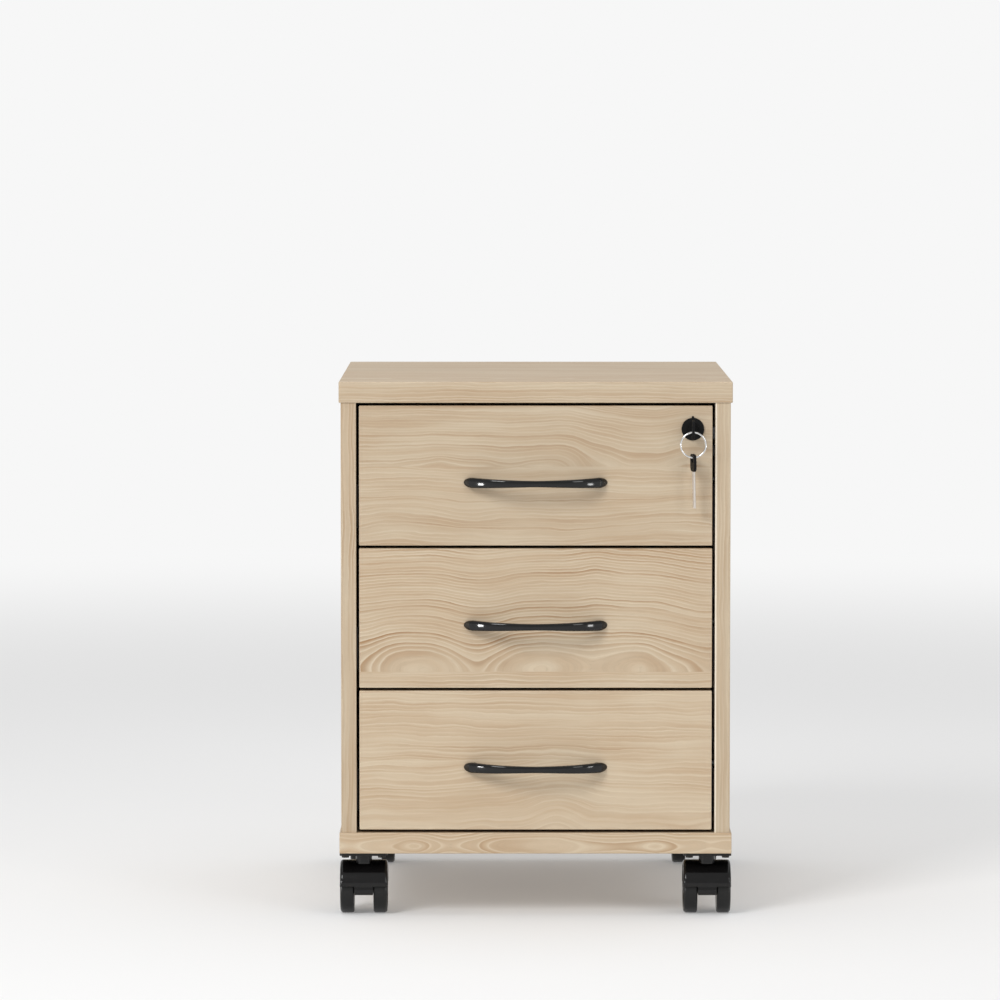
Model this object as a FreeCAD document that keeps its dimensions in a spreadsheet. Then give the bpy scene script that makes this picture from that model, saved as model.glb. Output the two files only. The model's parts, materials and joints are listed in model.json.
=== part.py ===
"""Rolling pedestal cabinet: a case of laminated board with three drawers on telescopic slides,
a central lock and four twin-wheel casters.

Frame: millimetres, +Z up, +X to the right of someone facing the drawers, the drawers open towards
-Y. The origin is on the floor, under the middle of the whole outline, handles included.
The driving sizes are the cells of the sheet called Sizes. Every other place is worked out from them.
"""

import FreeCAD
import Part
import Sketcher
import math
import os

SIZES = [
    # alias, value in mm, what it is
    ("slab_width", 410.0, "width of the top and the base"),
    ("slab_depth", 450.0, "depth of the top and the base"),
    ("slab_thick", 22.0, "thickness of the top and the base"),
    ("slab_overhang", 2.0, "how far the top and base stand past the sides and the drawer fronts"),
    ("slab_edge", 2.0, "radius of the edging of the top and the base"),
    ("side_high", 450.0, "height of the side panels, which is the drawer opening"),
    ("board_thick", 16.0, "thickness of the sides, the back and the drawer fronts"),
    ("board_edge", 1.0, "radius of the edging of the sides and the drawer fronts"),
    ("lift", 66.0, "height of the underside of the base above the floor"),
    ("gap", 3.0, "gap round each drawer front"),
    ("front_corner", 1.5, "corner radius of a drawer front"),
    ("box_board", 12.0, "thickness of the drawer box sides and back"),
    ("box_high", 90.0, "height of the drawer box"),
    ("box_long", 398.0, "length of the drawer box behind its front"),
    ("box_rise", 12.0, "drawer box above the lower edge of its front"),
    ("floor_thick", 3.0, "thickness of the drawer bottom"),
    ("floor_rise", 10.0, "drawer bottom above the lower edge of the box"),
    ("groove_deep", 6.0, "depth of the grooves that hold the drawer bottom"),
    ("groove_play", 0.3, "play of the drawer bottom in its grooves"),
    ("slide_long", 400.0, "length of each slide member"),
    ("slide_space", 12.7, "space between a side panel and a drawer box"),
    ("slide_high", 45.0, "height of the cabinet member of a slide"),
    ("slide_mid_high", 35.0, "height of the intermediate member"),
    ("slide_inner_high", 24.8, "height of the drawer member"),
    ("slide_sheet", 1.2, "sheet thickness of the slides"),
    ("slide_rise", 28.0, "middle of a slide above the lower edge of the drawer box"),
    ("handle_reach", 28.0, "how far a handle stands out from the drawer front"),
    ("handle_long", 147.0, "length of a handle"),
    ("handle_holes", 128.0, "spacing of the two handle screws"),
    ("handle_drop", 7.0, "handle below the middle of the drawer front"),
    ("handle_mid_high", 6.4, "height of the bow in its middle"),
    ("handle_end_high", 10.8, "height of the bow near its ends"),
    ("handle_thick", 6.6, "thickness of the bow"),
    ("lock_inset", 23.5, "lock axis from the inner face of the right side panel"),
    ("lock_drop", 24.3, "lock axis below the upper edge of the upper front"),
    ("rosette_radius", 11.8, "radius of the lock's cover disc"),
    ("rosette_thick", 2.5, "thickness of the lock's cover disc"),
    ("barrel_radius", 9.5, "radius of the lock barrel"),
    ("plug_radius", 5.95, "radius of the turning plug"),
    ("bar_lift", 12.0, "how far the locking bar rises over a quarter turn of the key"),
    ("bar_wide", 18.0, "width of the locking bar"),
    ("bar_thick", 5.0, "thickness of the locking bar"),
    ("peg_radius", 3.0, "radius of a locking peg"),
    ("bow_wide", 20.0, "width of a key's bow"),
    ("bow_long", 18.5, "length of a key's bow"),
    ("bow_thick", 2.8, "thickness of a key's bow"),
    ("blade_wide", 7.6, "width of a key's blade"),
    ("blade_thick", 2.0, "thickness of a key's blade"),
    ("ring_radius", 13.2, "radius of the key ring, to the middle of its wire"),
    ("ring_wire", 0.7, "radius of the key ring's wire"),
    ("plate_size", 50.0, "side of a caster's square plate"),
    ("plate_thick", 2.5, "thickness of a caster's plate"),
    ("plate_inset", 1.0, "plate from the front and rear edges of the base"),
    ("plate_holes", 38.0, "spacing of the plate's four screws"),
    ("wheel_radius", 25.0, "radius of a caster wheel"),
    ("wheel_wide", 14.7, "width of one wheel"),
    ("wheel_play", 0.4, "gap between a wheel and the web"),
    ("web_wide", 19.6, "width of the hood's middle web"),
    ("hood_radius", 30.5, "outer radius of the hood, about the axle"),
    ("trail", 6.0, "axle behind the swivel axis"),
    ("stem_radius", 4.0, "radius of the swivel pin"),
    ("axle_radius", 3.0, "radius of the axle"),
    ("pin_play", 0.05, "radial clearance of a pin that turns in a hole"),
]
LEVELS = ("lower", "middle", "upper")
SIDES = (("left", -1), ("right", 1))
OUT = "parts"

doc = FreeCAD.newDocument("pedestal")
sheet = doc.addObject("Spreadsheet::Sheet", "Sizes")
nodes = []


# ---------------------------------------------------------------- sizes and small helpers


class Size:
    """A length that knows its number and the sheet expression that gives it."""

    def __init__(self, value, text):
        self.value = float(value)
        self.text = text

    def __add__(self, other):
        other = size(other)
        return Size(self.value + other.value, f"({self.text} + {other.text})")

    def __sub__(self, other):
        other = size(other)
        return Size(self.value - other.value, f"({self.text} - {other.text})")

    def __mul__(self, factor):
        return Size(self.value * factor, f"({self.text} * {factor})")

    def __truediv__(self, factor):
        return Size(self.value / factor, f"({self.text} / {factor})")

    def __neg__(self):
        return Size(-self.value, f"(0 - {self.text})")


def size(value):
    """Any number as a Size."""
    return value if isinstance(value, Size) else Size(value, f"{float(value):.6f}")


def fill_sheet():
    """Writes the driving dimensions into the sheet and returns them by alias."""
    for row, (alias, value, meaning) in enumerate(SIZES, start=1):
        sheet.set(f"A{row}", str(value))
        sheet.set(f"B{row}", meaning)
        sheet.setAlias(f"A{row}", alias)
    doc.recompute()
    return {alias: Size(value, f"Sizes.{alias}") for alias, value, _ in SIZES}


def bind(thing, prop, value):
    """Ties a property to a sheet expression."""
    thing.setExpression(prop, size(value).text)


def place(thing, x=0.0, y=0.0, z=0.0, rotation=None):
    """Sets a thing's rotation and ties its base point to the sheet."""
    spot = [size(value) for value in (x, y, z)]
    turn = rotation or FreeCAD.Rotation()
    thing.Placement = FreeCAD.Placement(FreeCAD.Vector(*[value.value for value in spot]), turn)
    for axis, value in zip("xyz", spot):
        bind(thing, f"Placement.Base.{axis}", value)
    return thing


def turn_about(axis, degrees):
    """A rotation about X, Y or Z."""
    lines = {"X": (1, 0, 0), "Y": (0, 1, 0), "Z": (0, 0, 1)}
    return FreeCAD.Rotation(FreeCAD.Vector(*lines[axis]), degrees)


def block(name, x, y, z):
    """A box between the low and high ends given for each axis."""
    made = doc.addObject("Part::Box", name)
    for prop, (low, high) in zip(("Length", "Width", "Height"), (x, y, z)):
        bind(made, prop, size(high) - low)
    return place(made, x[0], y[0], z[0])


def rod(name, axis, radius, ends, centre):
    """A cylinder along an axis, between two ends; centre gives the other two coordinates."""
    made = doc.addObject("Part::Cylinder", name)
    bind(made, "Radius", radius)
    bind(made, "Height", size(ends[1]) - ends[0])
    if axis == "X":
        return place(made, ends[0], *centre, turn_about("Y", 90))
    if axis == "Y":
        return place(made, centre[0], ends[0], centre[1], turn_about("X", -90))
    return place(made, *centre, ends[0])


def fuse(name, *shapes):
    made = doc.addObject("Part::MultiFuse", name)
    made.Shapes = list(shapes)
    return made


def group(name, shapes):
    """Separate solids kept together as one sub-part."""
    made = doc.addObject("Part::Compound", name)
    made.Links = shapes
    return made


def cut(name, base, *tools):
    """base less each tool in turn."""
    for number, tool in enumerate(tools):
        made = doc.addObject("Part::Cut", f"{name}_{number}")
        made.Base = base
        made.Tool = tool
        base = made
    return base


def rounded(name, base, radius, wanted):
    """base with the edges rounded for which wanted(edge) is true."""
    doc.recompute()
    radius = size(radius).value
    made = doc.addObject("Part::Fillet", name)
    made.Base = base
    made.Edges = [(n, radius, radius) for n, edge in enumerate(base.Shape.Edges, 1) if wanted(edge)]
    return made


def runs_along(axis):
    """A test for straight edges parallel to X, Y or Z."""

    def wanted(edge):
        if edge.Curve.TypeId != "Part::GeomLine":
            return False
        along = edge.Curve.Direction
        return math.isclose(abs(getattr(along, axis.lower())), 1.0, abs_tol=1e-6)

    return wanted


def lies_on(axis, value):
    """A test for edges that lie in the plane where one coordinate has the value."""

    def wanted(edge):
        box = edge.BoundBox
        ends = (getattr(box, axis.upper() + "Min"), getattr(box, axis.upper() + "Max"))
        return all(math.isclose(end, value.value, abs_tol=0.01) for end in ends)

    return wanted


def outline(body, plane, points):
    """A closed sketch of straight lines on one of the body's planes, each corner tied to the sheet."""
    drawn = body.newObject("Sketcher::SketchObject", body.Name + "_outline")
    role = next(f for f in body.Origin.OriginFeatures if f.Role == plane)
    drawn.AttachmentSupport = [(role, "")]
    drawn.MapMode = "FlatFace"
    corners = [FreeCAD.Vector(size(x).value, size(y).value, 0) for x, y in points]
    for here, there in zip(corners, corners[1:] + corners[:1]):
        drawn.addGeometry(Part.LineSegment(here, there), False)
    count = len(points)
    for n in range(count):
        drawn.addConstraint(Sketcher.Constraint("Coincident", n, 2, (n + 1) % count, 1))
    for n, (x, y) in enumerate(points):
        for kind, axis, value in (("DistanceX", -2, size(x)), ("DistanceY", -1, size(y))):
            if value.value == 0:
                drawn.addConstraint(Sketcher.Constraint("PointOnObject", n, 1, axis))
                continue
            index = drawn.addConstraint(Sketcher.Constraint(kind, -1, 1, n, 1, value.value))
            drawn.setExpression(f"Constraints[{index}]", value.text)
    return drawn


def extruded(name, points, long, y):
    """A body: an XZ outline pushed along +Y for a length, starting at y."""
    body = doc.addObject("PartDesign::Body", name)
    pad = body.newObject("PartDesign::Pad", name + "_pad")
    pad.Profile = outline(body, "XZ_Plane", points)
    bind(pad, "Length", long)
    pad.Reversed = True
    body.Tip = pad
    return place(body, 0, y, 0)


def turned(name, points, x, y, z):
    """A body of revolution about its own X axis, from an outline of (x, radius) corners."""
    body = doc.addObject("PartDesign::Body", name)
    spin = body.newObject("PartDesign::Revolution", name + "_turn")
    drawn = outline(body, "XY_Plane", points)
    spin.Profile = drawn
    spin.ReferenceAxis = (drawn, ["H_Axis"])
    spin.Angle = 360
    body.Tip = spin
    return place(body, x, y, z)


class ScrewKind:
    """Shank radius and length, head radius and height."""

    def __init__(self, radius, long, head_radius, head_high):
        self.radius, self.long = radius, long
        self.head_radius, self.head_high = head_radius, head_high


def screw(name, kind, axis, toward, seat, centre):
    """A headed screw: its shank runs from the seat towards +1 or -1 along the axis."""
    seat = size(seat)
    if toward > 0:
        shank, head = (seat, seat + kind.long), (seat - kind.head_high, seat)
    else:
        shank, head = (seat - kind.long, seat), (seat, seat + kind.head_high)
    body = rod(name + "_shank", axis, kind.radius, shank, centre)
    cap = rod(name + "_head", axis, kind.head_radius, head, centre)
    return fuse(name, body, cap)


def span(sign, low, high):
    """The x range low..high on the right side, or its mirror image on the left."""
    return (low, high) if sign > 0 else (-size(high), -size(low))


def node(label, thing):
    """Marks a thing as a sub-part: its label names its file."""
    thing.Label = label
    nodes.append(thing)


S = fill_sheet()

# Planes that everything else is placed from.
BACK_Y = (S["slab_depth"] + S["handle_reach"] - S["slab_overhang"]) / 2
SLAB_Y = BACK_Y - S["slab_depth"]
FACE_Y = SLAB_Y + S["slab_overhang"]
FRONT_BACK_Y = FACE_Y + S["board_thick"]
BASE_Z = S["lift"]
SIDE_Z = BASE_Z + S["slab_thick"]
TOP_Z = SIDE_Z + S["side_high"]
SLAB_X = S["slab_width"] / 2
OUTER_X = SLAB_X - S["slab_overhang"]
INNER_X = OUTER_X - S["board_thick"]
FRONT_X = INNER_X - S["gap"]
BOX_X = INNER_X - S["slide_space"]
BOX_INNER_X = BOX_X - S["box_board"]
BOX_BACK_Y = FRONT_BACK_Y + S["box_long"]
FRONT_HIGH = (S["side_high"] - S["gap"] * 4) / 3
LOCK_X = INNER_X - S["lock_inset"]


def front_z(level):
    """Lower edge of the drawer front at a level, 0 the lowest."""
    return SIDE_Z + S["gap"] + (FRONT_HIGH + S["gap"]) * level


def box_z(level):
    """Lower edge of the drawer box at a level."""
    return front_z(level) + S["box_rise"]


LOCK_Z = front_z(2) + FRONT_HIGH - S["lock_drop"]


# ---------------------------------------------------------------- cam fittings

BOLT_IN = 11.0


class CamKind:
    """Cam radius and depth, its distance from the board's edge, its bolt's radius, its cross slot."""

    def __init__(self, radius, deep, from_edge, bolt_radius, slot):
        self.radius, self.deep, self.from_edge = radius, deep, from_edge
        self.bolt_radius = bolt_radius
        self.slot_long, self.slot_wide, self.slot_deep = slot


CASE_CAM = CamKind(7.5, 12.5, 24.0, 3.0, (8.4, 1.8, 1.8))
DRAWER_CAM = CamKind(6.0, 9.0, 24.0, 2.5, (7.2, 1.5, 1.6))


class Fittings:
    """Metal pieces, and the shapes of the holes that they need in the boards."""

    def __init__(self):
        self.pieces = []
        self.holes = []

    def add(self, piece, hole=None):
        self.pieces.append(piece)
        self.holes.append(hole or piece)


def cam(fittings, name, kind, axis, open_face, inward, centre, bolt):
    """A round cam with a cross slot in its open face, cut clear of the bolt that it grips."""
    reach = sorted((open_face, open_face + kind.deep * inward), key=lambda end: end.value)
    disc = rod(name + "_disc", axis, kind.radius, reach, centre)
    hole = cut(name + "_hole", disc, bolt)
    slot_ends = sorted((open_face, open_face + kind.slot_deep * inward), key=lambda end: end.value)
    slots = []
    for number, (u, v) in enumerate(((kind.slot_long, kind.slot_wide), (kind.slot_wide, kind.slot_long))):
        first = (centre[0] - u / 2, centre[0] + u / 2)
        second = (centre[1] - v / 2, centre[1] + v / 2)
        ranges = (slot_ends, first, second) if axis == "X" else (first, slot_ends, second)
        slots.append(block(f"{name}_slot{number}", *ranges))
    fittings.add(cut(name, hole, *slots), hole)


DOWEL_RADIUS = 4.0
DOWEL_HALF = 15.0
CAM_SPOTS = (60.0, 390.0)
DOWEL_SPOTS = (100.0, 350.0)


def case_corner(fittings, side, sign, where, edge_z, up):
    """The two cams and two dowels that join one side panel to the top or to the base."""
    board_x = (INNER_X + S["board_thick"] / 2) * sign
    for number, depth in enumerate(CAM_SPOTS):
        tag = f"{side}_{where}_{number}"
        spot_y = SLAB_Y + depth
        cam_z = edge_z - CASE_CAM.from_edge * up
        ends = sorted((cam_z, edge_z + BOLT_IN * up), key=lambda end: end.value)
        bolt = rod(f"bolt_{tag}", "Z", CASE_CAM.bolt_radius, ends, (board_x, spot_y))
        fittings.add(bolt)
        cam(fittings, f"cam_{tag}", CASE_CAM, "X", INNER_X * sign, sign, (spot_y, cam_z), bolt)
    for number, depth in enumerate(DOWEL_SPOTS):
        ends = (edge_z - DOWEL_HALF, edge_z + DOWEL_HALF)
        spot = (board_x, SLAB_Y + depth)
        fittings.add(rod(f"dowel_{side}_{where}_{number}", "Z", DOWEL_RADIUS, ends, spot))


def case_fittings():
    """The fittings at the four corners of the case, and those of the back panel."""
    fittings = Fittings()
    back_y = BACK_Y - S["board_thick"] / 2
    for side, sign in SIDES:
        case_corner(fittings, side, sign, "top", TOP_Z, 1)
        case_corner(fittings, side, sign, "base", SIDE_Z, -1)
        for number, rise in enumerate(CAM_SPOTS):
            z = SIDE_Z + rise
            tag = f"back_{side}_{number}"
            ends = span(sign, INNER_X - CASE_CAM.from_edge, INNER_X + BOLT_IN)
            bolt = rod(f"bolt_{tag}", "X", CASE_CAM.bolt_radius, ends, (back_y, z))
            fittings.add(bolt)
            spot = ((INNER_X - CASE_CAM.from_edge) * sign, z)
            cam(fittings, f"cam_{tag}", CASE_CAM, "Y", BACK_Y - S["board_thick"], 1, spot, bolt)
    return fittings


# ---------------------------------------------------------------- slides and their screws

SLIDE_Y = FRONT_BACK_Y + 2
SLIDE_SCREW_SPOTS = (35.0, 355.0)
DRAWER_SCREW_LAG = 20.0
CABINET_SCREW = ScrewKind(1.75, 11.0, 3.2, 0.9)
DRAWER_SCREW = ScrewKind(1.75, 9.0, 3.2, 1.6)
MIDDLE_WEB_GAP = 2.4
OUTER_LIP_GAP = 1.9
MIDDLE_LIP_GAP = 1.5
INNER_LIP_GAP = 4.5


def slide_z(level):
    return box_z(level) + S["slide_rise"]


def slide_screws(level, family, kind, seat_x, driven, lag):
    """The four screws of one family at one level: driven is +1 outwards, -1 inwards."""
    made = []
    for side, sign in SIDES:
        for number, along in enumerate(SLIDE_SCREW_SPOTS):
            name = f"{family}_slide_screw_{level}_{side}_{number}"
            centre = (SLIDE_Y + along + lag, slide_z(level))
            made.append(screw(name, kind, "X", sign * driven, seat_x * sign, centre))
    return made


def channel(name, sign, web_x, lip_x, half_high, z):
    """One slide member: a web with two flanges, open towards lip_x."""
    thick = S["slide_sheet"]
    inward = 1 if web_x.value > lip_x.value else -1
    inside_web = web_x - thick * inward
    inside_high = half_high - thick
    points = [
        (web_x, z - half_high),
        (web_x, z + half_high),
        (lip_x, z + half_high),
        (lip_x, z + inside_high),
        (inside_web, z + inside_high),
        (inside_web, z - inside_high),
        (lip_x, z - inside_high),
        (lip_x, z - half_high),
    ]
    if sign < 0:
        points = [(-x, high) for x, high in points]
    return extruded(name, points, S["slide_long"], SLIDE_Y)


def slides(level):
    """The three members of the left and right slides of one level, each pair as one sub-part."""
    z = slide_z(level)
    members = (
        ("cabinet", INNER_X, BOX_X + OUTER_LIP_GAP, S["slide_high"], cabinet_screws[level]),
        ("middle", INNER_X - MIDDLE_WEB_GAP, BOX_X + MIDDLE_LIP_GAP, S["slide_mid_high"], []),
        ("drawer", BOX_X, INNER_X - INNER_LIP_GAP, S["slide_inner_high"], drawer_screws[level]),
    )
    for kind, web_x, lip_x, high, screws in members:
        pair = []
        for side, sign in SIDES:
            member = channel(f"slide_{kind}_{level}_{side}", sign, web_x, lip_x, high / 2, z)
            if screws:
                holes = group(f"slide_{kind}_{level}_{side}_screws", screws)
                member = cut(f"slide_{kind}_{level}_{side}_holed", member, holes)
            pair.append(member)
        node(f"{LEVELS[level]}_{kind}_slides", group(f"slides_{kind}_{level}", pair))


# ---------------------------------------------------------------- case

BAR_Y = FRONT_BACK_Y + 15
BAR_X = INNER_X + 1
BAR_PLAY = 0.3
BAR_GROOVE_PLAY = 0.5
BAR_GROOVE_RISE = 6.0


def slab(label, z, *tools):
    """The top or the base: a thick board with all its outer edges rounded."""
    board = block(label + "_board", (-SLAB_X, SLAB_X), (SLAB_Y, BACK_Y), (z, z + S["slab_thick"]))
    soft = rounded(label + "_soft", board, S["slab_edge"], lambda edge: True)
    node(label, cut(label, soft, *tools))


def side_panel(side, sign, *tools):
    """A side panel; the right one has a groove for the locking bar."""
    board = block(side + "_board", span(sign, INNER_X, OUTER_X), (FACE_Y, BACK_Y), (SIDE_Z, TOP_Z))
    upright, in_front = runs_along("Z"), lies_on("Y", FACE_Y)
    soft = rounded(side + "_soft", board, S["board_edge"], lambda e: upright(e) and in_front(e))
    if sign > 0:
        half = S["bar_wide"] / 2 + BAR_PLAY
        deep_x = (INNER_X, BAR_X + S["bar_thick"] + BAR_GROOVE_PLAY)
        groove_z = (SIDE_Z + BAR_GROOVE_RISE, TOP_Z)
        tools = (block("bar_groove", deep_x, (BAR_Y - half, BAR_Y + half), groove_z), *tools)
    node(f"{side}_side_panel", cut(side + "_panel", soft, *tools))


# ---------------------------------------------------------------- drawers

BACK_SCREW = ScrewKind(2.4, 38.0, 4.5, 2.0)
BACK_SCREW_RISE = (20.0, 70.0)
FRONT_CAM_RISE = (20.0, 72.0)
HANDLE_SCREW = ScrewKind(2.0, 20.0, 4.0, 2.0)


def box_fittings(level):
    """Cams in the box sides that pull the front on, and the screws of the box's back."""
    fittings = Fittings()
    open_y = FRONT_BACK_Y + DRAWER_CAM.from_edge
    for side, sign in SIDES:
        board_x = (BOX_INNER_X + S["box_board"] / 2) * sign
        for number, rise in enumerate(FRONT_CAM_RISE):
            z = box_z(level) + rise
            tag = f"front_{level}_{side}_{number}"
            ends = (FRONT_BACK_Y - BOLT_IN, open_y)
            bolt = rod(f"bolt_{tag}", "Y", DRAWER_CAM.bolt_radius, ends, (board_x, z))
            fittings.add(bolt)
            cam(fittings, f"cam_{tag}", DRAWER_CAM, "X", BOX_INNER_X * sign, sign, (open_y, z), bolt)
        for number, rise in enumerate(BACK_SCREW_RISE):
            centre = (BOX_BACK_Y - S["box_board"] / 2, box_z(level) + rise)
            seat = (BOX_X - BACK_SCREW.head_high) * sign
            name = f"back_screw_{level}_{side}_{number}"
            fittings.add(screw(name, BACK_SCREW, "X", -sign, seat, centre))
    return fittings


def handle_z(level):
    return front_z(level) + FRONT_HIGH / 2 - S["handle_drop"]


def handle_screws(level):
    made = []
    for side, sign in SIDES:
        centre = (S["handle_holes"] * (sign / 2), handle_z(level))
        made.append(screw(f"handle_screw_{level}_{side}", HANDLE_SCREW, "Y", -1, FRONT_BACK_Y, centre))
    return made


def drawer_front(level, *tools):
    """A drawer front with softened corners and a softened front edge."""
    z = front_z(level)
    name = f"front_{level}"
    board = block(name + "_board", (-FRONT_X, FRONT_X), (FACE_Y, FRONT_BACK_Y), (z, z + FRONT_HIGH))
    soft = rounded(name + "_soft", board, S["front_corner"], runs_along("Y"))
    softer = rounded(name + "_softer", soft, S["board_edge"], lies_on("Y", FACE_Y))
    node(f"{LEVELS[level]}_front", cut(name, softer, *tools))


def bottom_groove(level):
    """The space of the groove that runs round the inside of a drawer box."""
    z = box_z(level) + S["floor_rise"]
    half = BOX_INNER_X + S["groove_deep"]
    y = (FRONT_BACK_Y - S["groove_deep"], BOX_BACK_Y - S["box_board"] + S["groove_deep"])
    return block(f"groove_{level}", (-half, half), y, (z, z + S["floor_thick"] + S["groove_play"]))


def drawer_bottom(level):
    """The thin bottom board, which fills its groove but for a little play."""
    play = S["groove_play"]
    half = BOX_INNER_X + S["groove_deep"] - play
    end_y = BOX_BACK_Y - S["box_board"] + S["groove_deep"] - play
    low = box_z(level) + S["floor_rise"] + play / 2
    y = (FRONT_BACK_Y - S["groove_deep"] + play, end_y)
    board = block(f"bottom_{level}", (-half, half), y, (low, low + S["floor_thick"]))
    node(f"{LEVELS[level]}_bottom", board)


BOW_STEPS = 12
BOW_WAIST = 0.78
BOW_FOOT = 2.2
BOW_POWER = 3.2
BOW_TIP = 0.5
POST_RADIUS = 4.2
POST_LONG = 7.0


def bow_section(name, share, level):
    """One elliptical section of a handle's bow; share runs from -1 at the left tip to 1."""
    half_long = S["handle_long"].value / 2
    mid, end = S["handle_mid_high"].value / 2, S["handle_end_high"].value / 2
    thick = S["handle_thick"].value / 2
    x = half_long * math.sin(share * math.pi / 2) * 0.999
    waist = half_long * BOW_WAIST
    swell = min(abs(x) / waist, 1.0)
    tip = max(abs(x) - waist, 0.0) / (half_long - waist)
    round_tip = math.sqrt(1 - tip * tip)
    half_high = max((mid + (end - mid) * swell * swell * (3 - 2 * swell)) * round_tip, BOW_TIP)
    half_thick = thick * (0.35 + 0.65 * round_tip)
    peak, foot = S["handle_reach"].value - thick, half_long - BOW_FOOT
    lift = peak * (1 - min(abs(x) / foot, 1.02) ** BOW_POWER)
    slope = math.copysign(peak * BOW_POWER * abs(x) ** (BOW_POWER - 1) / foot**BOW_POWER, x)
    # The ellipse stands across the bow; its long radius is upright except near the tips.
    along = FreeCAD.Vector(1, slope, 0).normalize()
    upright = FreeCAD.Vector(0, 0, 1)
    level_way = upright.cross(along)
    long_way, short_way = (upright, -level_way) if half_high >= half_thick else (level_way, upright)
    oval = doc.addObject("Part::Ellipse", name)
    oval.MajorRadius = max(half_high, half_thick)
    oval.MinorRadius = min(half_high, half_thick)
    turn = FreeCAD.Rotation(long_way, short_way, along, "ZXY")
    return place(oval, x, FACE_Y - lift, handle_z(level), turn)


def handle(level, screws):
    """A bow handle: a lofted bow trimmed flat against the drawer front, with two screw posts."""
    z = handle_z(level)
    bow = doc.addObject("Part::Loft", f"bow_{level}")
    steps = range(-BOW_STEPS, BOW_STEPS + 1)
    bow.Sections = [bow_section(f"bow_{level}_{n + BOW_STEPS}", n / BOW_STEPS, level) for n in steps]
    bow.Solid = True
    half, high = S["handle_long"], S["handle_end_high"]
    behind = block(f"bow_behind_{level}", (-half, half), (FACE_Y, FACE_Y + high), (z - high, z + high))
    posts = []
    for side, sign in SIDES:
        spot = (S["handle_holes"] * (sign / 2), z)
        posts.append(rod(f"post_{level}_{side}", "Y", POST_RADIUS, (FACE_Y - POST_LONG, FACE_Y), spot))
    whole = fuse(f"handle_whole_{level}", cut(f"bow_flat_{level}", bow, behind), *posts)
    node(f"{LEVELS[level]}_handle", cut(f"handle_{level}", whole, screws))


PEG_RISE = 55.0
PEG_REACH = 9.0
CATCH_RISE = 61.0
CATCH_HIGH = 12.0
CATCH_GAP = 1.0
CATCH_SIDE_PLAY = 3.0
CATCH_SHEET = 2.0
CATCH_LONG = 26.0
CATCH_MARGIN = 4.0
CATCH_SCREW = ScrewKind(1.5, 8.0, 2.8, 1.2)
CATCH_SCREW_SPOTS = (10.0, 20.0)


def catch(level):
    """The catch on the right box side that a raised locking peg holds: a plate with a lug in front."""
    z = box_z(level) + CATCH_RISE
    lug_y = BAR_Y + S["peg_radius"] + CATCH_GAP
    name = f"catch_{level}"
    lug_x = (BOX_X, INNER_X - CATCH_SIDE_PLAY)
    lug = block(name + "_lug", lug_x, (lug_y, lug_y + CATCH_SHEET), (z, z + CATCH_HIGH))
    plate_z = (z - CATCH_MARGIN / 2, z + CATCH_HIGH + CATCH_MARGIN)
    plate = block(name + "_plate", (BOX_X, BOX_X + CATCH_SHEET), (lug_y, lug_y + CATCH_LONG), plate_z)
    screws = []
    for number, back in enumerate(CATCH_SCREW_SPOTS):
        centre = (lug_y + back, z + CATCH_HIGH / 2)
        screws.append(screw(f"{name}_screw_{number}", CATCH_SCREW, "X", -1, BOX_X + CATCH_SHEET, centre))
    whole = fuse(name + "_whole", lug, plate)
    node(f"{LEVELS[level]}_catch", cut(name, whole, group(name + "_screws", screws)))
    return screws


def drawer(level):
    """Everything that belongs to one drawer, apart from the slides."""
    name = LEVELS[level]
    fittings = box_fittings(level)
    pulls = handle_screws(level)
    catch_screws = catch(level)
    groove = bottom_groove(level)
    joints = group(f"joint_holes_{level}", fittings.holes)
    pull_holes = group(f"pull_holes_{level}", pulls)
    side_holes = group(f"side_holes_{level}", drawer_screws[level] + catch_screws)
    lock_tools, extra = [], []
    if level == 2:
        hole_y = (FACE_Y, FRONT_BACK_Y)
        lock_hole = rod("lock_hole", "Y", S["barrel_radius"] + BARREL_PLAY, hole_y, (LOCK_X, LOCK_Z))
        lock_tools = [lock_hole, group("lock_screw_holes", lock_screws)]
        extra = lock_screws
    drawer_front(level, groove, joints, pull_holes, *lock_tools)
    box_high = (box_z(level), box_z(level) + S["box_high"])
    for side, sign in SIDES:
        board_y = (FRONT_BACK_Y, BOX_BACK_Y)
        board = block(f"box_{side}_{level}", span(sign, BOX_INNER_X, BOX_X), board_y, box_high)
        node(f"{name}_box_{side}", cut(f"box_{side}_{level}_cut", board, groove, joints, side_holes))
    back_y = (BOX_BACK_Y - S["box_board"], BOX_BACK_Y)
    board = block(f"box_back_{level}", (-BOX_INNER_X, BOX_INNER_X), back_y, box_high)
    node(f"{name}_box_back", cut(f"box_back_{level}_cut", board, groove, joints))
    drawer_bottom(level)
    handle(level, pull_holes)
    pieces = fittings.pieces + pulls + drawer_screws[level] + catch_screws + extra
    node(f"{name}_drawer_fasteners", group(f"drawer_fasteners_{level}", pieces))


# ---------------------------------------------------------------- lock, keys and locking bar

BARREL_PLAY = 0.1
FLANGE_THICK = 4.0
FLANGE_HALF_X = 19.0
FLANGE_HALF_Z = 12.0
FLANGE_CORNER = 3.0
ROSETTE_EDGE = 0.8
NIB_RADIUS = 1.3
NIB_THICK = 1.6
LOCK_SCREW = ScrewKind(1.5, 13.0, 2.6, 1.0)
LOCK_SCREW_SPOT = 15.0
PLUG_SUNK = 0.4
LEVER_GAP = 0.3
LEVER_THICK = 3.0
LEVER_HUB = 5.5
LEVER_TIP = 2.8
PIN_RADIUS = 2.0
PIN_LONG = 6.0
SLEEVE_LONG = 13.5
KEYWAY_PLAY = 0.1

# The drive pin swings from 45 degrees below the level of the lock axis to 45 degrees above it.
PIN_DROP = S["bar_lift"] / 2


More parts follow.
